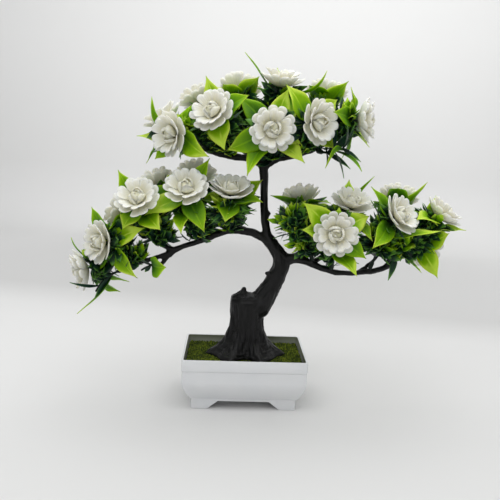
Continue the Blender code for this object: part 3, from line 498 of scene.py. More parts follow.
def bloom_place(node):
    """The matrix that carries a bloom drawn upright at the origin to its place in the frame."""
    bm = merged_copy(node)
    points = np.array([v.co[:] for v in bm.verts])
    bm.free()
    middle = points.mean(axis=0)
    axis = np.linalg.eigh(np.cov((points - middle).T))[1][:, 0]
    height = (points - middle) @ axis
    out = points - middle - height[:, None] * axis
    radius = np.linalg.norm(out, axis=1)
    rim = height[radius > BLOOM_RIM].mean()
    core = height[radius < BLOOM_CORE]
    if rim - core.min() < core.max() - rim:
        axis, height = -axis, -height
    axis = Vector(axis)
    side = Vector((0, 0, 1)).cross(axis)
    side = side.normalized() if side.length > 0.01 else Vector((1, 0, 0))
    ahead = axis.cross(side)
    lobes = out[radius > BLOOM_RIM]
    angles = np.arctan2(lobes @ np.array(ahead), lobes @ np.array(side))
    turn = (np.angle(np.exp(PETALS * 1j * angles).sum()) - math.pi) / PETALS
    base = Vector(middle) + axis * float(height.min())
    place = Matrix((side, ahead, axis)).transposed().to_4x4()
    place.translation = base
    return place @ Matrix.Rotation(turn, 4, "Z")


bloom_names = sorted(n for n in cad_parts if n.startswith("bloom_"))
bloom_places = {name: bloom_place(name) for name in bloom_names}
print("blooms placed:", len(bloom_places))

# %% Petals and buds
# Each layer: (distance from the middle, height) along a petal, and how far out its lobes, the dent
# between them and its sides reach
OUTER = (((2.2, 1.2), (5.0, 2.2), (9.0, 4.0), (12.0, 6.0), (14.2, 7.9)), 14.1, 12.3, 10.4)
INNER = (((2.0, 2.8), (4.5, 4.6), (6.8, 6.8), (9.0, 9.0), (11.4, 10.9)), 11.5, 9.9, 8.4)
PETAL_ROWS, PETAL_COLUMNS = 8, 17
PETAL_HALF_ANGLE = math.radians(31.5)
BUD_ROWS, BUD_COLUMNS = 9, 13
# Each ring of the bud: petals, distance from the middle, height, half angle, turn, spiral, thickness,
# and how far out the colour runs, which stops short of the white rim as painted shade
BUD_RINGS = ((3, 4.3, 11.2, 64, 0.0, 0.5, 0.7, 0.75), (2, 2.9, 11.3, 76, 0.9, 0.4, 0.8, 0.6),
             (1, 1.3, 11.0, 105, 0.0, 0.4, 0.9, 0.55))


def polar(radius, angle, z):
    """A grid of points from their distance and turn about the bloom's axis, and their height."""
    return np.stack(np.broadcast_arrays(radius * np.cos(angle), radius * np.sin(angle), z), axis=2)


def petal_grid(layer, middle_angle, draw):
    """A petal of one layer, as a grid in millimetres, drawn out from the bloom's middle."""
    profile, lobe, dent, side = layer
    v = np.linspace(0, 1, PETAL_ROWS)[:, None]
    u = np.linspace(-1, 1, PETAL_COLUMNS)[None, :]
    from_lobe = (np.abs(u) - 0.5) / 0.5
    notch = np.where(from_lobe > 0, side, dent)
    reach = notch + (lobe - notch) * np.sqrt(1 - np.abs(from_lobe) ** 2.0)
    reach = reach - draw.uniform(0, 0.6) * (u > 0) - draw.uniform(0, 0.6) * (u < 0)
    start = profile[0][0]
    radius = start + (reach - start) * v ** 0.9
    z = np.interp(radius, *zip(*profile))
    z = z + 0.6 * u * v + 0.55 * v ** 2 * from_lobe ** 2 - 0.5 * v * np.exp(-(u / 0.14) ** 2)
    z = z + draw.uniform(-0.7, 0.6) * v ** 2 + draw.uniform(-0.6, 0.6) * u * v ** 2
    lean = math.radians(draw.uniform(-3, 3))
    angle = middle_angle + PETAL_HALF_ANGLE * u * (1.06 - 0.12 * v) + lean * v
    return polar(radius, angle, z)


def bud_grid(radius, height, half_angle, middle_angle, spiral, draw):
    """A petal of the bud: a spoon that leans in, one side of it outside the next petal."""
    v = np.linspace(0, 1, BUD_ROWS)[:, None]
    u = np.linspace(-1, 1, BUD_COLUMNS)[None, :]
    close = draw.uniform(0.12, 0.42)
    bulge = 0.72 + 0.42 * np.sin(math.pi * v * 0.8) - close * v ** 3
    r = (radius + spiral * u) * bulge
    angle = middle_angle + half_angle * u * (1 - 0.15 * v ** 2) + draw.uniform(-0.2, 0.2)
    top = height - 4.2 * np.abs(u) ** 2.2 + draw.uniform(-1.0, 0.7)
    z = 4.4 + (top - 4.4) * v ** 0.9
    return polar(r, angle, z)


def heart_grid(radius, height):
    """The low dome of rolled foam at the bottom of the bud."""
    v = np.linspace(0.02, 1, 6)[:, None]
    angle = math.pi * np.linspace(-1, 1, 17)[None, :]
    return polar(radius * v, angle, height - 1.4 * v ** 2)


def bloom_shells(place, draw):
    """All petals of a bloom, as closed shells in the frame."""
    shells = Shells()

    def lay(grid, thickness, start, stop=1.0):
        points, faces, along, across = sheet_shell(grid, thickness)
        world = points @ np.array(place.to_3x3()).T * MM + np.array(place.translation)
        shells.add((world, faces, start + (stop - start) * along, across))

    # The inner layer starts deeper in the cream than the outer one, and the bud deeper still and short of the
    # white rim: painted shade deep in the bloom.
    edge = 1 - 0.5 * np.linspace(0, 1, PETAL_ROWS)[:, None] ** 5
    askew = math.radians(draw.uniform(-9, 9))
    for petal in range(PETALS):
        turn = 2 * math.pi * (petal + 0.5) / PETALS
        lay(petal_grid(OUTER, turn, draw), 0.6 * edge, 0.3)
        lay(petal_grid(INNER, turn + askew, draw), 0.6 * edge, 0.2)
    swirl = draw.uniform(0, 2 * math.pi)
    rim = 1 - 0.4 * np.linspace(0, 1, BUD_ROWS)[:, None] ** 5
    for count, radius, height, half, start, spiral, thickness, stop in BUD_RINGS:
        for k in range(count):
            turn = swirl + start + 2 * math.pi * k / count
            lay(bud_grid(radius, height, math.radians(half), turn, spiral, draw), thickness * rim, 0.15, stop)
    lay(heart_grid(3.5, 9.3), 0.8, 0.15, 0.3)
    return shells


bloom_pieces = []
for name in bloom_names:
    shells = bloom_shells(bloom_places[name], random.Random(name))
    piece = shells.piece("petals_" + name, [petal_foam])
    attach(piece, "root")
    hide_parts(name)
    bloom_pieces.append(piece)
gathered = bmesh.new()
for piece in bloom_pieces:
    gathered.from_mesh(piece.data)
petals = BVHTree.FromBMesh(gathered)
print("blooms:", len(bloom_pieces), "with", triangles(bloom_pieces[0]), "triangles each")

# %% [markdown]
# ## The leaves' plastic
# The greens are soft moulded plastic, coloured twice in the mould: the broad leaves run from a deep
# green at the stem to a bright yellow green at the tip and rim, and the narrow ones are a cool
# dark green that only turns light at the tip. Moulded plastic of this kind is half gloss. A faint
# midrib and side veins are pressed into it. All three greens share one recipe with other colours.

# %% Leaf plastic
def leaf_plastic(name, stops, roughness, shine, spread, glow):
    """Green plastic whose colour runs along the leaf, with veins and a half-gloss surface. The glow
    is how much light it lets through."""
    material, tree, shader = start_material(name, roughness, 1.45)
    shader.inputs["Specular IOR Level"].default_value = shine
    along, across, tone = (noted(tree, key) for key in ("along", "across", "tone"))
    rim = calc(tree, "MULTIPLY", calc(tree, "MULTIPLY", across, across), 0.3)
    size = calc(tree, "ABSOLUTE", across)
    rib = add(tree, "ShaderNodeMapRange", {"Value": size, "From Min": 0.05, "From Max": 0.12,
                                           "To Min": 0.16, "To Max": 0.0}).outputs[0]
    mixed = calc(tree, "ADD", along, calc(tree, "ADD", rim, rib))
    mixed = calc(tree, "ADD", mixed, calc(tree, "MULTIPLY_ADD", tone, spread, -spread / 2))
    mixed = calc(tree, "ADD", mixed, calc(tree, "MULTIPLY_ADD", noise(tree, 6.0, 2.0), 0.3, -0.15))
    slant = calc(tree, "MULTIPLY_ADD", size, -0.35, along)
    veins = relief(tree, stripes(tree, slant, 3.2, 0.3, 1.0), 0.35, 0.12)
    fill(shader, {"Base Color": ramp(tree, mixed, *stops), "Specular IOR Level": shine,
                  **scatter(glow, (0.8, 1.0, 0.25), 1.5),
                  "Normal": relief(tree, noise(tree, 0.7, 2.0), 0.15, 0.05, Normal=veins)})
    return material


BRIGHT = (0.0, "1A380A"), (0.3, "366606"), (0.55, "64950A"), (0.85, "8CB80E"), (1.0, "BCDA48")
DARK = (0.0, "0A1A15"), (0.5, "112E21"), (0.85, "1C3F28"), (1.0, "56862F")
STEM = (0.0, "14201A"), (1.0, "20361F")
bright_leaf = leaf_plastic("bright_green_soft_plastic", BRIGHT, 0.42, 0.17, 0.6, 0.4)
dark_blade = leaf_plastic("dark_green_soft_plastic", DARK, 0.36, 0.32, 0.25, 0.12)
stem_plastic = leaf_plastic("stem_green_plastic", STEM, 0.45, 0.2, 0.3, 0.1)
print("greens:", [m.name for m in (bright_leaf, dark_blade, stem_plastic)])

# %% [markdown]
# ## The leaves and blades
# A finer leaf follows the measured one: a line that bends evenly from root to tip carries an
# outline, and the outline is folded along the midrib. Broad leaves are widest before the middle and
# end in a drawn-out drip tip, with side veins as low waves. Blades are narrow and bend more. A leaf
# whose bend would take it through a petal or another stem's leaf bends less. The number of rows is
# kept small, because there are hundreds of them.

# %% Lay the leaves
OUTLINES = {
    "leaf": ((0.0, 0.10), (0.05, 0.16), (0.10, 0.58), (0.17, 0.90), (0.26, 1.08), (0.38, 1.15),
             (0.50, 1.10), (0.62, 0.94), (0.74, 0.66), (0.84, 0.35), (0.92, 0.14), (0.97, 0.05),
             (1.0, 0.015)),
    "long": ((0.0, 0.5), (0.12, 0.9), (0.35, 1.2), (0.6, 1.0), (0.8, 0.65), (0.92, 0.3), (1.0, 0.03)),
    "blade": ((0.0, 0.25), (0.15, 0.7), (0.38, 1.0), (0.6, 0.82), (0.8, 0.45), (1.0, 0.03)),
}
LEAF_GRID = {"leaf": (18, 11), "long": (12, 5), "blade": (9, 5)}
LEAF_THICKNESS = {"leaf": 0.4, "long": 0.5, "blade": 0.45}
LEAF_DROOP = {"leaf": 0.14, "long": 0.08, "blade": 0.05}  # how far the tip hangs, for the leaf's length
LEAF_TWIST = {"leaf": 14, "long": 50, "blade": 45}  # the most that a leaf turns about its own line
EASES = (1.0, 0.6, 0.3, 0.0)  # shares of its twist, drift and droop that a leaf tries until it is clear


def leaf_grid(leaf, draw, ease):
    """The middle surface of a leaf, in metres. An eased leaf bends less and is a little narrower."""
    kind = leaf["kind"]
    rows, columns = LEAF_GRID[kind]
    t = np.linspace(0, 1, rows)[:, None, None]
    u = np.linspace(-1, 1, columns)[None, :, None]
    line = np.array(leaf["root"]) + t * np.array(leaf["slope"]) + t ** 2 * np.array(leaf["bend"])
    tangent = np.array(leaf["slope"]) + 2 * t * np.array(leaf["bend"])
    side = np.array(leaf["half"].normalized())
    rise = np.cross(side, tangent)
    rise = rise / np.linalg.norm(rise, axis=2, keepdims=True)
    twist = ease * math.radians(LEAF_TWIST[kind]) * draw.uniform(-1, 1) * t
    side, rise = side * np.cos(twist) + rise * np.sin(twist), rise * np.cos(twist) - side * np.sin(twist)
    shares, widths = zip(*OUTLINES[kind])
    half = leaf["half"].length * np.interp(t, shares, widths) * (0.8 + 0.2 * ease)
    lift = half * leaf["fold"] * (1.25 * np.abs(u) - 0.25 * u ** 2)
    drift = 0.0
    if kind == "leaf":
        veins = 0.10 * MM * np.cos(2 * math.pi * (7 * t - 2.2 * np.abs(u)))
        lift = lift + veins * np.sin(math.pi * np.abs(u))
        wave = math.pi * (draw.uniform(2.5, 4.0) * t + (u > 0) * draw.uniform(0, 1))
        lift = lift + 0.7 * MM * np.abs(u) ** 2 * np.sin(math.pi * t) * np.sin(wave)
        drift = 1.6 * MM * draw.uniform(-1, 1) * t ** 4
    elif kind == "long":
        drift = 6.5 * MM * draw.choice((-1, 1)) * np.sin(math.pi * t)
    reach = leaf["slope"].length
    droop = LEAF_DROOP[kind] * draw.uniform(0.2, 1.3) * reach * t ** 3
    return line + side * (half * u + ease * drift) + rise * (lift - ease * droop)


def surface(points, faces):
    return BVHTree.FromPolygons(np.asarray(points).tolist(), faces)


def laid_leaf(leaf, draw, others):
    """The closed sheet of a leaf, eased as far as it takes to meet none of the other surfaces."""
    start = draw.getstate()
    for ease in EASES:
        draw.setstate(start)
        grid = leaf_grid(leaf, draw, ease)
        edge = 1 - 0.75 * np.abs(np.linspace(-1, 1, grid.shape[1]))[None, :] ** 3
        shell = sheet_shell(grid, LEAF_THICKNESS[leaf["kind"]] * MM * edge)
        own = surface(shell[0], shell[1])
        if not any(other.overlap(own) for other in others):
            return shell, ease
    return shell, None


foliage_pieces, laid, eased = [], [petals], []
for name in stem_names:
    leaves, bare = stems[name]
    draw = random.Random(name)
    shells = Shells()
    for leaf in leaves:
        shell, ease = laid_leaf(leaf, draw, laid)
        eased.append(ease)
        slot, spread = {"leaf": (0, 1.0), "long": (0, 0.6), "blade": (1, 1.0)}[leaf["kind"]]
        shells.add(shell, slot, spread * draw.random())
    bmesh.ops.subdivide_edges(bare, edges=bare.edges, cuts=1, use_grid_fill=True)
    for _ in range(2):
        bmesh.ops.smooth_vert(bare, verts=bare.verts, factor=0.35, use_axis_x=True, use_axis_y=True,
                              use_axis_z=True)
    points = np.array([v.co for v in bare.verts])
    zeros = np.zeros(len(points))
    shells.add((points, faces_of(bare), zeros, zeros), 2, draw.random())
    piece = shells.piece("foliage_" + name.removeprefix("leafy_stem_"),
                         [bright_leaf, dark_blade, stem_plastic])
    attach(piece, "root")
    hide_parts(name)
    foliage_pieces.append(piece)
    laid.append(surface([v.co for v in piece.data.vertices],
                        [tuple(f.vertices) for f in piece.data.polygons]))
print("foliage:", len(foliage_pieces), "pieces,", sum(triangles(p) for p in foliage_pieces), "triangles,",
      "leaves by ease:", {ease: eased.count(ease) for ease in (*EASES, None)})

# %% [markdown]
# ## The dark filling
# Between the broad leaves the real stems carry many short sprigs of stiff needles and small leaves
# in a cool dark green, and some bright ones. They make the crown look full. Nobody places about a
# thousand of them by hand, so they are a rule: points scattered over the bare stems and the limbs
# near them, a direction a little off the surface's own, a ray that drops a sprig whose stalk would
# run into a bloom, and a copy of a small sprig on what is left. Geometry Nodes does this with a
# fixed seed, so it comes out the same each time. A ray knows only the stalk's own line, so
# afterwards each leaf of a sprig that still cuts a petal is taken off.

# %% The sprig rule
def growth_rule(name):
    """A node tree that scatters copies of an object over a mesh, pointing outwards."""
    tree = bpy.data.node_groups.new(name, "GeometryNodeTree")
    for kind, labels in (("Geometry", ("Ground",)), ("Object", ("Copy", "Blocked By")),
                         ("Float", ("Per Square Metre", "Free Length", "Spread", "Lift", "Smallest")),
                         ("Int", ("Seed",)), ("Material", ("Material",))):
        for label in labels:
            tree.interface.new_socket(name=label, in_out="INPUT", socket_type="NodeSocket" + kind)
    tree.interface.new_socket(name="Growth", in_out="OUTPUT", socket_type="NodeSocketGeometry")

    def node(kind, inputs=None, **settings):
        return add(tree, kind, inputs, **settings).outputs

    def vector(operation, *values):
        return calc(tree, operation, *values, kind="ShaderNodeVectorMath")

    def number(low, high, seed):
        return node("FunctionNodeRandomValue", {2: low, 3: high, "Seed": seed}, data_type="FLOAT")[1]

    def store(geometry, name, value, kind, domain):
        return node("GeometryNodeStoreNamedAttribute", {"Geometry": geometry, "Name": name, "Value": value},
                    data_type=kind, domain=domain)[0]

    given = node("NodeGroupInput")
    spots = node("GeometryNodeDistributePointsOnFaces",
                 {"Mesh": given["Ground"], "Density": given["Per Square Metre"], "Seed": given["Seed"]})
    stray = node("FunctionNodeRandomValue", {"Min": (-1, -1, -1), "Max": (1, 1, 1), "Seed": given["Seed"]},
                 data_type="FLOAT_VECTOR")[0]
    stray = node("ShaderNodeVectorMath", {0: stray, "Scale": given["Spread"]}, operation="SCALE")[0]
    lift = node("ShaderNodeCombineXYZ", {"Z": given["Lift"]})[0]
    aim = vector("NORMALIZE", vector("ADD", vector("ADD", spots["Normal"], stray), lift))
    kept = store(spots["Points"], "aim", aim, "FLOAT_VECTOR", "POINT")
    aim = node("GeometryNodeInputNamedAttribute", {"Name": "aim"}, data_type="FLOAT_VECTOR")[0]
    block = node("GeometryNodeObjectInfo", {"Object": given["Blocked By"]})["Geometry"]
    blocked = node("GeometryNodeRaycast", {"Target Geometry": block, "Ray Direction": aim,
                                           "Ray Length": given["Free Length"]})["Is Hit"]
    free = node("GeometryNodeDeleteGeometry", {"Geometry": kept, "Selection": blocked}, domain="POINT")[0]
    turn = node("ShaderNodeCombineXYZ", {"Z": number(0.0, 2 * math.pi, 7)})[0]
    turn = node("FunctionNodeEulerToRotation", {0: turn})[0]
    pose = node("FunctionNodeAlignRotationToVector", {"Rotation": turn, "Vector": aim}, axis="Z")[0]
    pattern = node("GeometryNodeObjectInfo", {"Object": given["Copy"], "As Instance": True})["Geometry"]
    copies = node("GeometryNodeInstanceOnPoints", {"Points": free, "Instance": pattern, "Rotation": pose,
                                                   "Scale": number(given["Smallest"], 1.0, 11)})[0]
    toned = store(copies, "tone", number(0.0, 1.0, 13), "FLOAT", "INSTANCE")
    real = node("GeometryNodeRealizeInstances", {"Geometry": toned})[0]
    painted = node("GeometryNodeSetMaterial", {"Geometry": real, "Material": given["Material"]})[0]
    node("NodeGroupOutput", {"Growth": painted})
    return tree


def made_mesh(obj):
    """The mesh that the object's modifiers make of its own."""
    return bpy.data.meshes.new_from_object(obj.evaluated_get(bpy.context.evaluated_depsgraph_get()))


def grow(name, ground, rule, **inputs):
    """The rule's result on this ground object, as a plain mesh piece at the origin."""
    modifier = ground.modifiers.new("growth", "NODES")
    modifier.node_group = rule
    sockets = {item.name.replace(" ", "_").lower(): item.identifier for item in rule.interface.items_tree
               if item.in_out == "INPUT"}
    for key, value in inputs.items():
        modifier[sockets[key]] = value
    ground.update_tag()
    mesh = made_mesh(ground)
    mesh.name = name
    ground.modifiers.remove(modifier)
    return new_object(name, mesh)


rule = growth_rule("scattered_growth")
print("rule:", len(rule.nodes), "nodes,", len(rule.interface.items_tree), "sockets")

# %% [markdown]
# ## Two sprigs
# One sprig is a stalk with stiff needles all round, the other a stalk with a few small pointed
# leaves. A needle is a flat spindle of eight triangles, a small leaf a folded sheet of four rows.
# They are simple because they are repeated so often, and mostly their outline shows.

# %% Draw the sprigs and grow them
NEEDLES, SMALL_LEAVES = 9, 6  # on each sprig
STALK_POINTS = 6
SMALL_LEAF_ROWS = ((0.0, 0.14), (0.28, 0.92), (0.6, 0.86), (1.0, 0.04))  # (share of length, of width)


def spindle(root, tip, side, width, thickness, share):
    """A flat spindle from root to tip, widest at this share of its length."""
    root, tip, side = Vector(root), Vector(tip), Vector(side).normalized()
    middle = root.lerp(tip, share)
    rise = (tip - root).cross(side).normalized() * thickness / 2
    half = side * width / 2
    points = [root, middle + half + rise, middle + rise * 2.2, middle - half + rise, middle - rise, tip]
    faces = [(0, 2, 1), (0, 3, 2), (0, 4, 3), (0, 1, 4), (5, 1, 2), (5, 2, 3), (5, 3, 4), (5, 4, 1)]
    along = [0.0, 0.45, 0.45, 0.45, 0.45, 1.0]
    return [tuple(p * MM) for p in points], faces, along


def small_leaf(root, tip, side, width):
    """A folded and drooping ovate leaf from root to tip, as a closed sheet."""
    reach = tip - root
    side = side.normalized()
    rise = side.cross(reach).normalized()
    rows = []
    for share, wide in SMALL_LEAF_ROWS:
        middle = root + reach * share - rise * 0.16 * reach.length * share ** 2
        rows.append([middle + (side * u + rise * 0.3 * abs(u)) * wide * width / 2 for u in (-1, 0, 1)])
    points, faces, along, _ = sheet_shell(np.array(rows), 0.4)
    return [tuple(p) for p in points * MM], faces, list(along)


def make_sprig(name, seed, length, leaves, reach, lean, step, shape):
    """A stalk along +Z with leaves round it, each a step further round than the last, as a helper
    object with the along attribute. The shape draws a leaf from its root, its tip and its side."""
    draw = random.Random(seed)
    points, faces, along = spindle((0, 0, -1.2), (0, 0, length), (1, 0, 0), 0.7, 0.6, 0.3)
    parts = [(points, faces, [0.0] * STALK_POINTS)]
    for k in range(leaves):
        turn = step * k + draw.uniform(-0.35, 0.35)
        z = length * (k + 0.6) / (leaves + 0.5)
        tilt = math.radians(draw.uniform(*lean)) * (1 - 0.5 * k / leaves)
        size = reach * draw.uniform(0.75, 1.1)
        out = Vector((math.cos(turn) * math.sin(tilt), math.sin(turn) * math.sin(tilt), math.cos(tilt)))
        side = Vector((-math.sin(turn), math.cos(turn), draw.uniform(-0.3, 0.3)))
        root = Vector((0, 0, z))
        parts.append(shape(root, root + out * size, side))
    points, faces, along = [], [], []
    for part_points, part_faces, part_along in parts:
        faces += [tuple(k + len(points) for k in face) for face in part_faces]
        points += part_points
        along += part_along
    obj = mesh_object(name, points, faces)
    note(obj.data, "along", along)
    note(obj.data, "across", [0.0] * len(points))
    return obj


def take_off_cuts(piece, copy, leaves):
    """Takes off each leaf of the sprigs that cuts a petal, and the whole sprig where its stalk does.
    The copies follow each other in the mesh, each with its stalk first, which tells what is what."""
    per_copy = len(copy.data.vertices)
    per_leaf = (per_copy - STALK_POINTS) // leaves

    def part(vert):
        which, place = divmod(vert.index, per_copy)
        return which, 0 if place < STALK_POINTS else 1 + (place - STALK_POINTS) // per_leaf

    bm = bmesh.new()
    bm.from_mesh(piece.data)
    bm.faces.ensure_lookup_table()
    cut = {part(bm.faces[i].verts[0]) for i, _ in BVHTree.FromBMesh(bm).overlap(petals)}
    gone = [v for v in bm.verts if part(v) in cut or (part(v)[0], 0) in cut]
    bmesh.ops.delete(bm, geom=gone, context="VERTS")
    bm.to_mesh(piece.data)
    bm.free()
    return len(cut)


needle_sprig = make_sprig("needle_sprig", 3, 10.5, NEEDLES, 7.5, (35, 60), math.pi,
                          lambda root, tip, side: spindle(root, tip, side, 1.5, 0.3, 0.4))
leaf_sprig = make_sprig("leaf_sprig", 5, 9.0, SMALL_LEAVES, 9.5, (40, 75), 2.4,
                        lambda root, tip, side: small_leaf(root, tip, side, 6.0))
all_blooms = bmesh_object("all_blooms", gathered)

# These hang in the open
BARE_STEMS = ("leafy_stem_left_tip", "leafy_stem_left_under", "leafy_stem_top_right")
BARE_FOOT = 7.0 * MM  # the lowest part of each stem has no sprigs
BARE_NECK = 2.0 * MM  # nor has its top, where it enters the bloom
# So near to a leafy stem the upper side of a limb carries sprigs too
LIMB_REACH = {"top": 14.0 * MM, "left": 11.5 * MM, "right": 9.5 * MM}
UPPER_SIDE = 0.35  # the least upward part of a normal there
trunk_copy = merged_copy("trunk")
bark = BVHTree.FromBMesh(trunk_copy)


def between(face):
    """Whether a face of a stem lies clear of the branch below it and of the bloom on it."""
    middle = face.calc_center_median()
    return bark.find_nearest(middle)[3] > BARE_FOOT and petals.find_nearest(middle)[3] > BARE_NECK


sprig_pieces, taken_off = [], 0
for pad in ("top", "left", "right"):
    points, faces = [], []
    for name in stem_names:
        if name.startswith("leafy_stem_" + pad) and name not in BARE_STEMS:
            bare = stems[name][1]
            faces += faces_of(bare, len(points), between)
            points += [v.co for v in bare.verts]
    leafy = BVHTree.FromPolygons(points, faces)
    faces += faces_of(trunk_copy, len(points), lambda face: face.normal.z > UPPER_SIDE and
                      leafy.find_nearest(face.calc_center_median())[3] < LIMB_REACH[pad])
    points += [v.co for v in trunk_copy.verts]
    ground = mesh_object("ground_" + pad, points, faces)
    for kind, copy, leaves, material, density, length, lift, seed in (
            ("needles", needle_sprig, NEEDLES, dark_blade, 0.9e5, 0.012, 0.45, 21),
            ("small_leaves", leaf_sprig, SMALL_LEAVES, dark_blade, 2.1e5, 0.011, 0.45, 22),
            ("bright_leaves", leaf_sprig, SMALL_LEAVES, bright_leaf, 0.5e5, 0.011, 0.9, 23)):
        piece = grow(f"{kind}_{pad}", ground, rule, copy=copy, blocked_by=all_blooms,
                     per_square_metre=density, free_length=length, spread=0.55, lift=lift, smallest=0.65,
                     seed=seed, material=material)
        taken_off += take_off_cuts(piece, copy, leaves)
        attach(piece, "root")
        sprig_pieces.append(piece)
    bpy.data.objects.remove(ground)
trunk_copy.free()
for helper in (needle_sprig, leaf_sprig, all_blooms):
    bpy.data.objects.remove(helper)
print("sprigs:", {p.name: triangles(p) for p in sprig_pieces}, "leaves and stalks taken off:", taken_off)

# %% [markdown]
# ## The trunk's bark
# The trunk is one moulding in black plastic, with bark cut into the mould: long ridges that follow
# each limb, run out over the roots, and merge. The frame's trunk has flat facets. It is rebuilt
# from small cubes, which gives an even net of points, and then smoothed. For the bark each point
# needs to know which way its limb runs. Round a limb all normals stand square to its length, so the
# direction that nearby normals have least of is that length. Noise drawn out along it is bark.

# %% Trunk
TRUNK_VOXEL = 0.6 * MM
SMOOTHINGS, EQUAL_SMOOTHINGS = 30, 10  # after the second number only thick limbs smooth on
BARK_SEED = 8
THIN_LIMB, THICK_LIMB = 5.0 * MM, 13.0 * MM


def neighbour_means(pairs, count):
    """A function that averages values over each point's neighbours, with optional weights."""
    first = np.concatenate([pairs[:, 0], pairs[:, 1]])
    second = np.concatenate([pairs[:, 1], pairs[:, 0]])

    def means(values, weights=None):
        weights = np.ones(len(first)) if weights is None else np.concatenate([weights, weights])
        total = np.bincount(first, weights, count)
        columns = [np.bincount(first, weights * values[second, k], count) for k in range(values.shape[1])]
        return np.stack(columns, axis=1) / np.maximum(total, 1e-9)[:, None]
    return means


def as_array(items, key, width, kind=float):
    """One property of a mesh's items as an array, one row for each."""
    values = np.empty(len(items) * width, dtype=kind)
    items.foreach_get(key, values)
    return values.reshape(-1, width)


def remade(obj, name, kind, **settings):
    """Puts the mesh that this modifier makes in place of the object's own, and returns it."""
    modifier = obj.modifiers.new(name, kind)
    for key, value in settings.items():
        setattr(modifier, key, value)
    old, fine = obj.data, made_mesh(obj)
    obj.modifiers.clear()
    obj.data = fine
    bpy.data.meshes.remove(old)
    return fine


def blurred(values, means, steps, keep=0.0, weights=None):
    """The values after this many steps. In each, a point keeps this share of its own value and takes
    the rest from its neighbours' mean."""
    for _ in range(steps):
        values = keep * values + (1 - keep) * means(values, weights)
    return values


def limb_width(inside, point, normal):
    """How far it is from this point of the skin straight through the limb."""
    hit = inside.ray_cast(point - normal * 1.0 * MM, -normal)
    return (hit[0] - point).length if hit[0] else 0.0


def limb_directions(normals, means):
    """At each point the direction that the normals near it have least of."""
    pairs = [(0, 0), (0, 1), (0, 2), (1, 1), (1, 2), (2, 2)]
    spread = np.stack([normals[:, a] * normals[:, b] for a, b in pairs], axis=1)
    spread = blurred(spread, means, 30, 0.5)
    full = np.empty((len(spread), 3, 3))
    for k, (a, b) in enumerate(pairs):
        full[:, a, b] = full[:, b, a] = spread[:, k]
    return np.linalg.eigh(full)[1][:, :, 0]


def make_trunk():
    base = merged_copy("trunk")
    inside = BVHTree.FromBMesh(base)
    obj = bmesh_object("trunk_bark", base)
    fine = remade(obj, "even_net", "REMESH", mode="VOXEL", voxel_size=TRUNK_VOXEL)
    count = len(fine.vertices)
    points = as_array(fine.vertices, "co", 3)
    pairs = as_array(fine.edges, "vertices", 2, int)
    means = neighbour_means(pairs, count)
    normals = as_array(fine.vertex_normals, "vector", 3)
    width = np.array([limb_width(inside, Vector(p), Vector(n)) for p, n in zip(points, normals)])
    thick = np.clip((width - THIN_LIMB) / (THICK_LIMB - THIN_LIMB), 0, 1)[:, None]
    thick = blurred(thick, means, 12)
    for step in range(SMOOTHINGS):
        share = 0.5 if step < EQUAL_SMOOTHINGS else 0.5 * thick
        points = points + share * (means(points) - points)
    fine.vertices.foreach_set("co", points.ravel())
    fine.update()
    normals = as_array(fine.vertex_normals, "vector", 3)
    axes = limb_directions(normals, means)
    steps = points[pairs[:, 1]] - points[pairs[:, 0]]
    steps /= np.maximum(np.linalg.norm(steps, axis=1, keepdims=True), 1e-12)
    with_grain = np.abs((steps * axes[pairs[:, 0]]).sum(axis=1)) ** 4 + 0.012
    chance = np.random.default_rng(BARK_SEED)
    wide, narrow = chance.normal(size=(count, 1)), chance.normal(size=(count, 1))
    wide = blurred(blurred(wide, means, 3), means, 60, 0.3, with_grain)
    narrow = blurred(narrow, means, 18, 0.3, with_grain)
    wide, narrow = wide / wide.std(), narrow / narrow.std()
    deep = (0.14 + 0.30 * thick) * MM
    ridges = deep * (np.clip(1.2 - np.abs(wide) * 1.6, -1, 1)) + 0.10 * MM * narrow
    points = points + normals * np.clip(ridges, -0.5 * MM, 0.45 * MM)
    fine.vertices.foreach_set("co", points.ravel())
    note(fine, "ridge", (ridges / deep).ravel())
    use_smooth(fine)
    fine.update()
    return obj


trunk_plastic, tree, shader = start_material("black_moulded_plastic", 0.4, 1.45)
# Painted shade: the bark's grooves are painted darker than its ridge tops.
fill(shader, {"Base Color": ramp(tree, noted(tree, "ridge"), (0.0, "070707"), (1.0, "111112")),
              "Specular IOR Level": 0.32, "Normal": relief(tree, noise(tree, 0.9, 4.0, 0.6), 0.8, 0.3)})
trunk_piece = make_trunk()
trunk_piece.data.materials.clear()
trunk_piece.data.materials.append(trunk_plastic)
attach(trunk_piece, "root")
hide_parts("trunk")
print("trunk:", triangles(trunk_piece), "triangles")

# %% [markdown]
# ## The pot
# The pot is injection-moulded in glossy white plastic, with a thin wall, a band below the rim and
# four bracket feet. Its corners and rims look sharp from afar but are slightly rounded, and that
# rounding is what catches the light. The frame's pot gets its flat facets joined, and then a bevel
# of a few tenths of a millimetre on every edge that is sharp enough. Over the moss the inner wall is
# coloured a dull dark grey green, so each point also notes whether it lies inside.

# %% Pot
RIM_THICKNESS = 1.0 * MM
INSIDE_FROM = 21.0 * MM  # from this height up the inner wall shows over the moss
pot_plastic, tree, shader = start_material("glossy_white_plastic", 0.25, 1.5)
cloud = noise(tree, 25.0, 3.0)
white = ramp(tree, cloud, (0.3, "E2E4E6"), (0.7, "E7E8E9"))
# Over the moss the inner wall is coloured dark grey green.
dark_inside_colour = ramp(tree, cloud, (0.3, "5C6248"), (0.7, "777C64"))
mix = add(tree, "ShaderNodeMix", {0: noted(tree, "inside"), 6: white, 7: dark_inside_colour}, data_type="RGBA")
fill(shader, {"Base Color": mix.outputs[2], **scatter(0.08, (1.0, 1.0, 1.0), 1.0)})


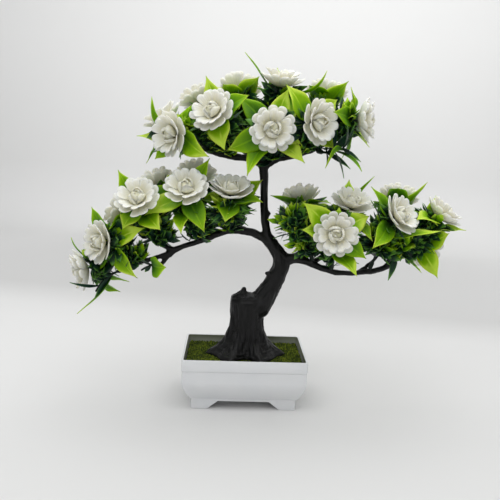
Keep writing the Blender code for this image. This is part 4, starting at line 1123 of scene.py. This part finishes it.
def make_pot():
    bm = merged_copy("pot")
    bmesh.ops.dissolve_limit(bm, angle_limit=math.radians(1.0), verts=bm.verts, edges=bm.edges)
    obj = bmesh_object("pot_moulding", bm)
    fine = remade(obj, "rounding", "BEVEL", width=0.35 * MM, segments=3, limit_method="ANGLE",
                  angle_limit=math.radians(35), harden_normals=False)
    reach = (pot_high - pot_low) / 2 - Vector((1, 1, 0)) * RIM_THICKNESS
    note(fine, "inside", [float(all(abs(v.co[k] - pot_centre[k]) < reach[k] for k in (0, 1))
                                and INSIDE_FROM < v.co.z < pot_high.z - 0.2 * MM) for v in fine.vertices])
    use_smooth(fine)
    fine.set_sharp_from_angle(angle=math.radians(28))
    return obj


pot_piece = make_pot()
pot_piece.data.materials.clear()
pot_piece.data.materials.append(pot_plastic)
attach(pot_piece, "root")
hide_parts("pot")
print("pot:", triangles(pot_piece), "triangles")

# %% [markdown]
# ## Cement and moss
# The pot is filled with cast cement, which gives the light tree a foot that won't tip. A mat of
# flocked moss hides it. The mat is short fibres on a backing, in olive and brown greens. The
# backing is the frame's mat, and the pile on it is grown by the same rule as the sprigs, from
# small tufts that stand nearly upright.

# %% Cement and moss
cement, tree, shader = start_material("cast_cement", 0.9)
fill(shader, {"Base Color": ramp(tree, noise(tree, 2.0, 5.0), (0.3, "8A8781"), (0.7, "A5A29B"))})

moss, tree, shader = start_material("flocked_moss_fibre", 0.95)
cloud = calc(tree, "MULTIPLY", noise(tree, 7.0, 4.0), 0.7)
mixed = calc(tree, "MULTIPLY_ADD", noted(tree, "tone"), 0.65, cloud)
fill(shader, {"Base Color": ramp(tree, mixed, (0.35, "243208"), (0.68, "475A0C"), (1.0, "8E9C26"))})

for node, material in (("pot_filler", cement), ("moss_mat", moss)):
    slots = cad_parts[node].material_slots
    slots[0].link = "OBJECT"
    slots[0].material = material

points, faces, _ = spindle((0, 0, -0.2), (0.3, 0.1, 1.5), (1, 0, 0), 0.75, 0.5, 0.5)
tuft = mesh_object("tuft", points, faces)
mat = merged_copy("moss_mat")
top = [f for f in mat.faces if f.normal.z > 0.6]
index = {v: i for i, v in enumerate({v: None for f in top for v in f.verts})}
ground = mesh_object("mat_top", [v.co for v in index], [tuple(index[v] for v in f.verts) for f in top])
nothing = mesh_object("nothing", [], [])
pile = grow("moss_pile", ground, rule, copy=tuft, blocked_by=nothing, per_square_metre=3.4e6,
            free_length=0.001, spread=0.8, lift=0.5, smallest=0.4, seed=31, material=moss)
mat.free()
for helper in (tuft, ground, nothing):
    bpy.data.objects.remove(helper)
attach(pile, "root")
print("moss pile:", triangles(pile), "triangles")
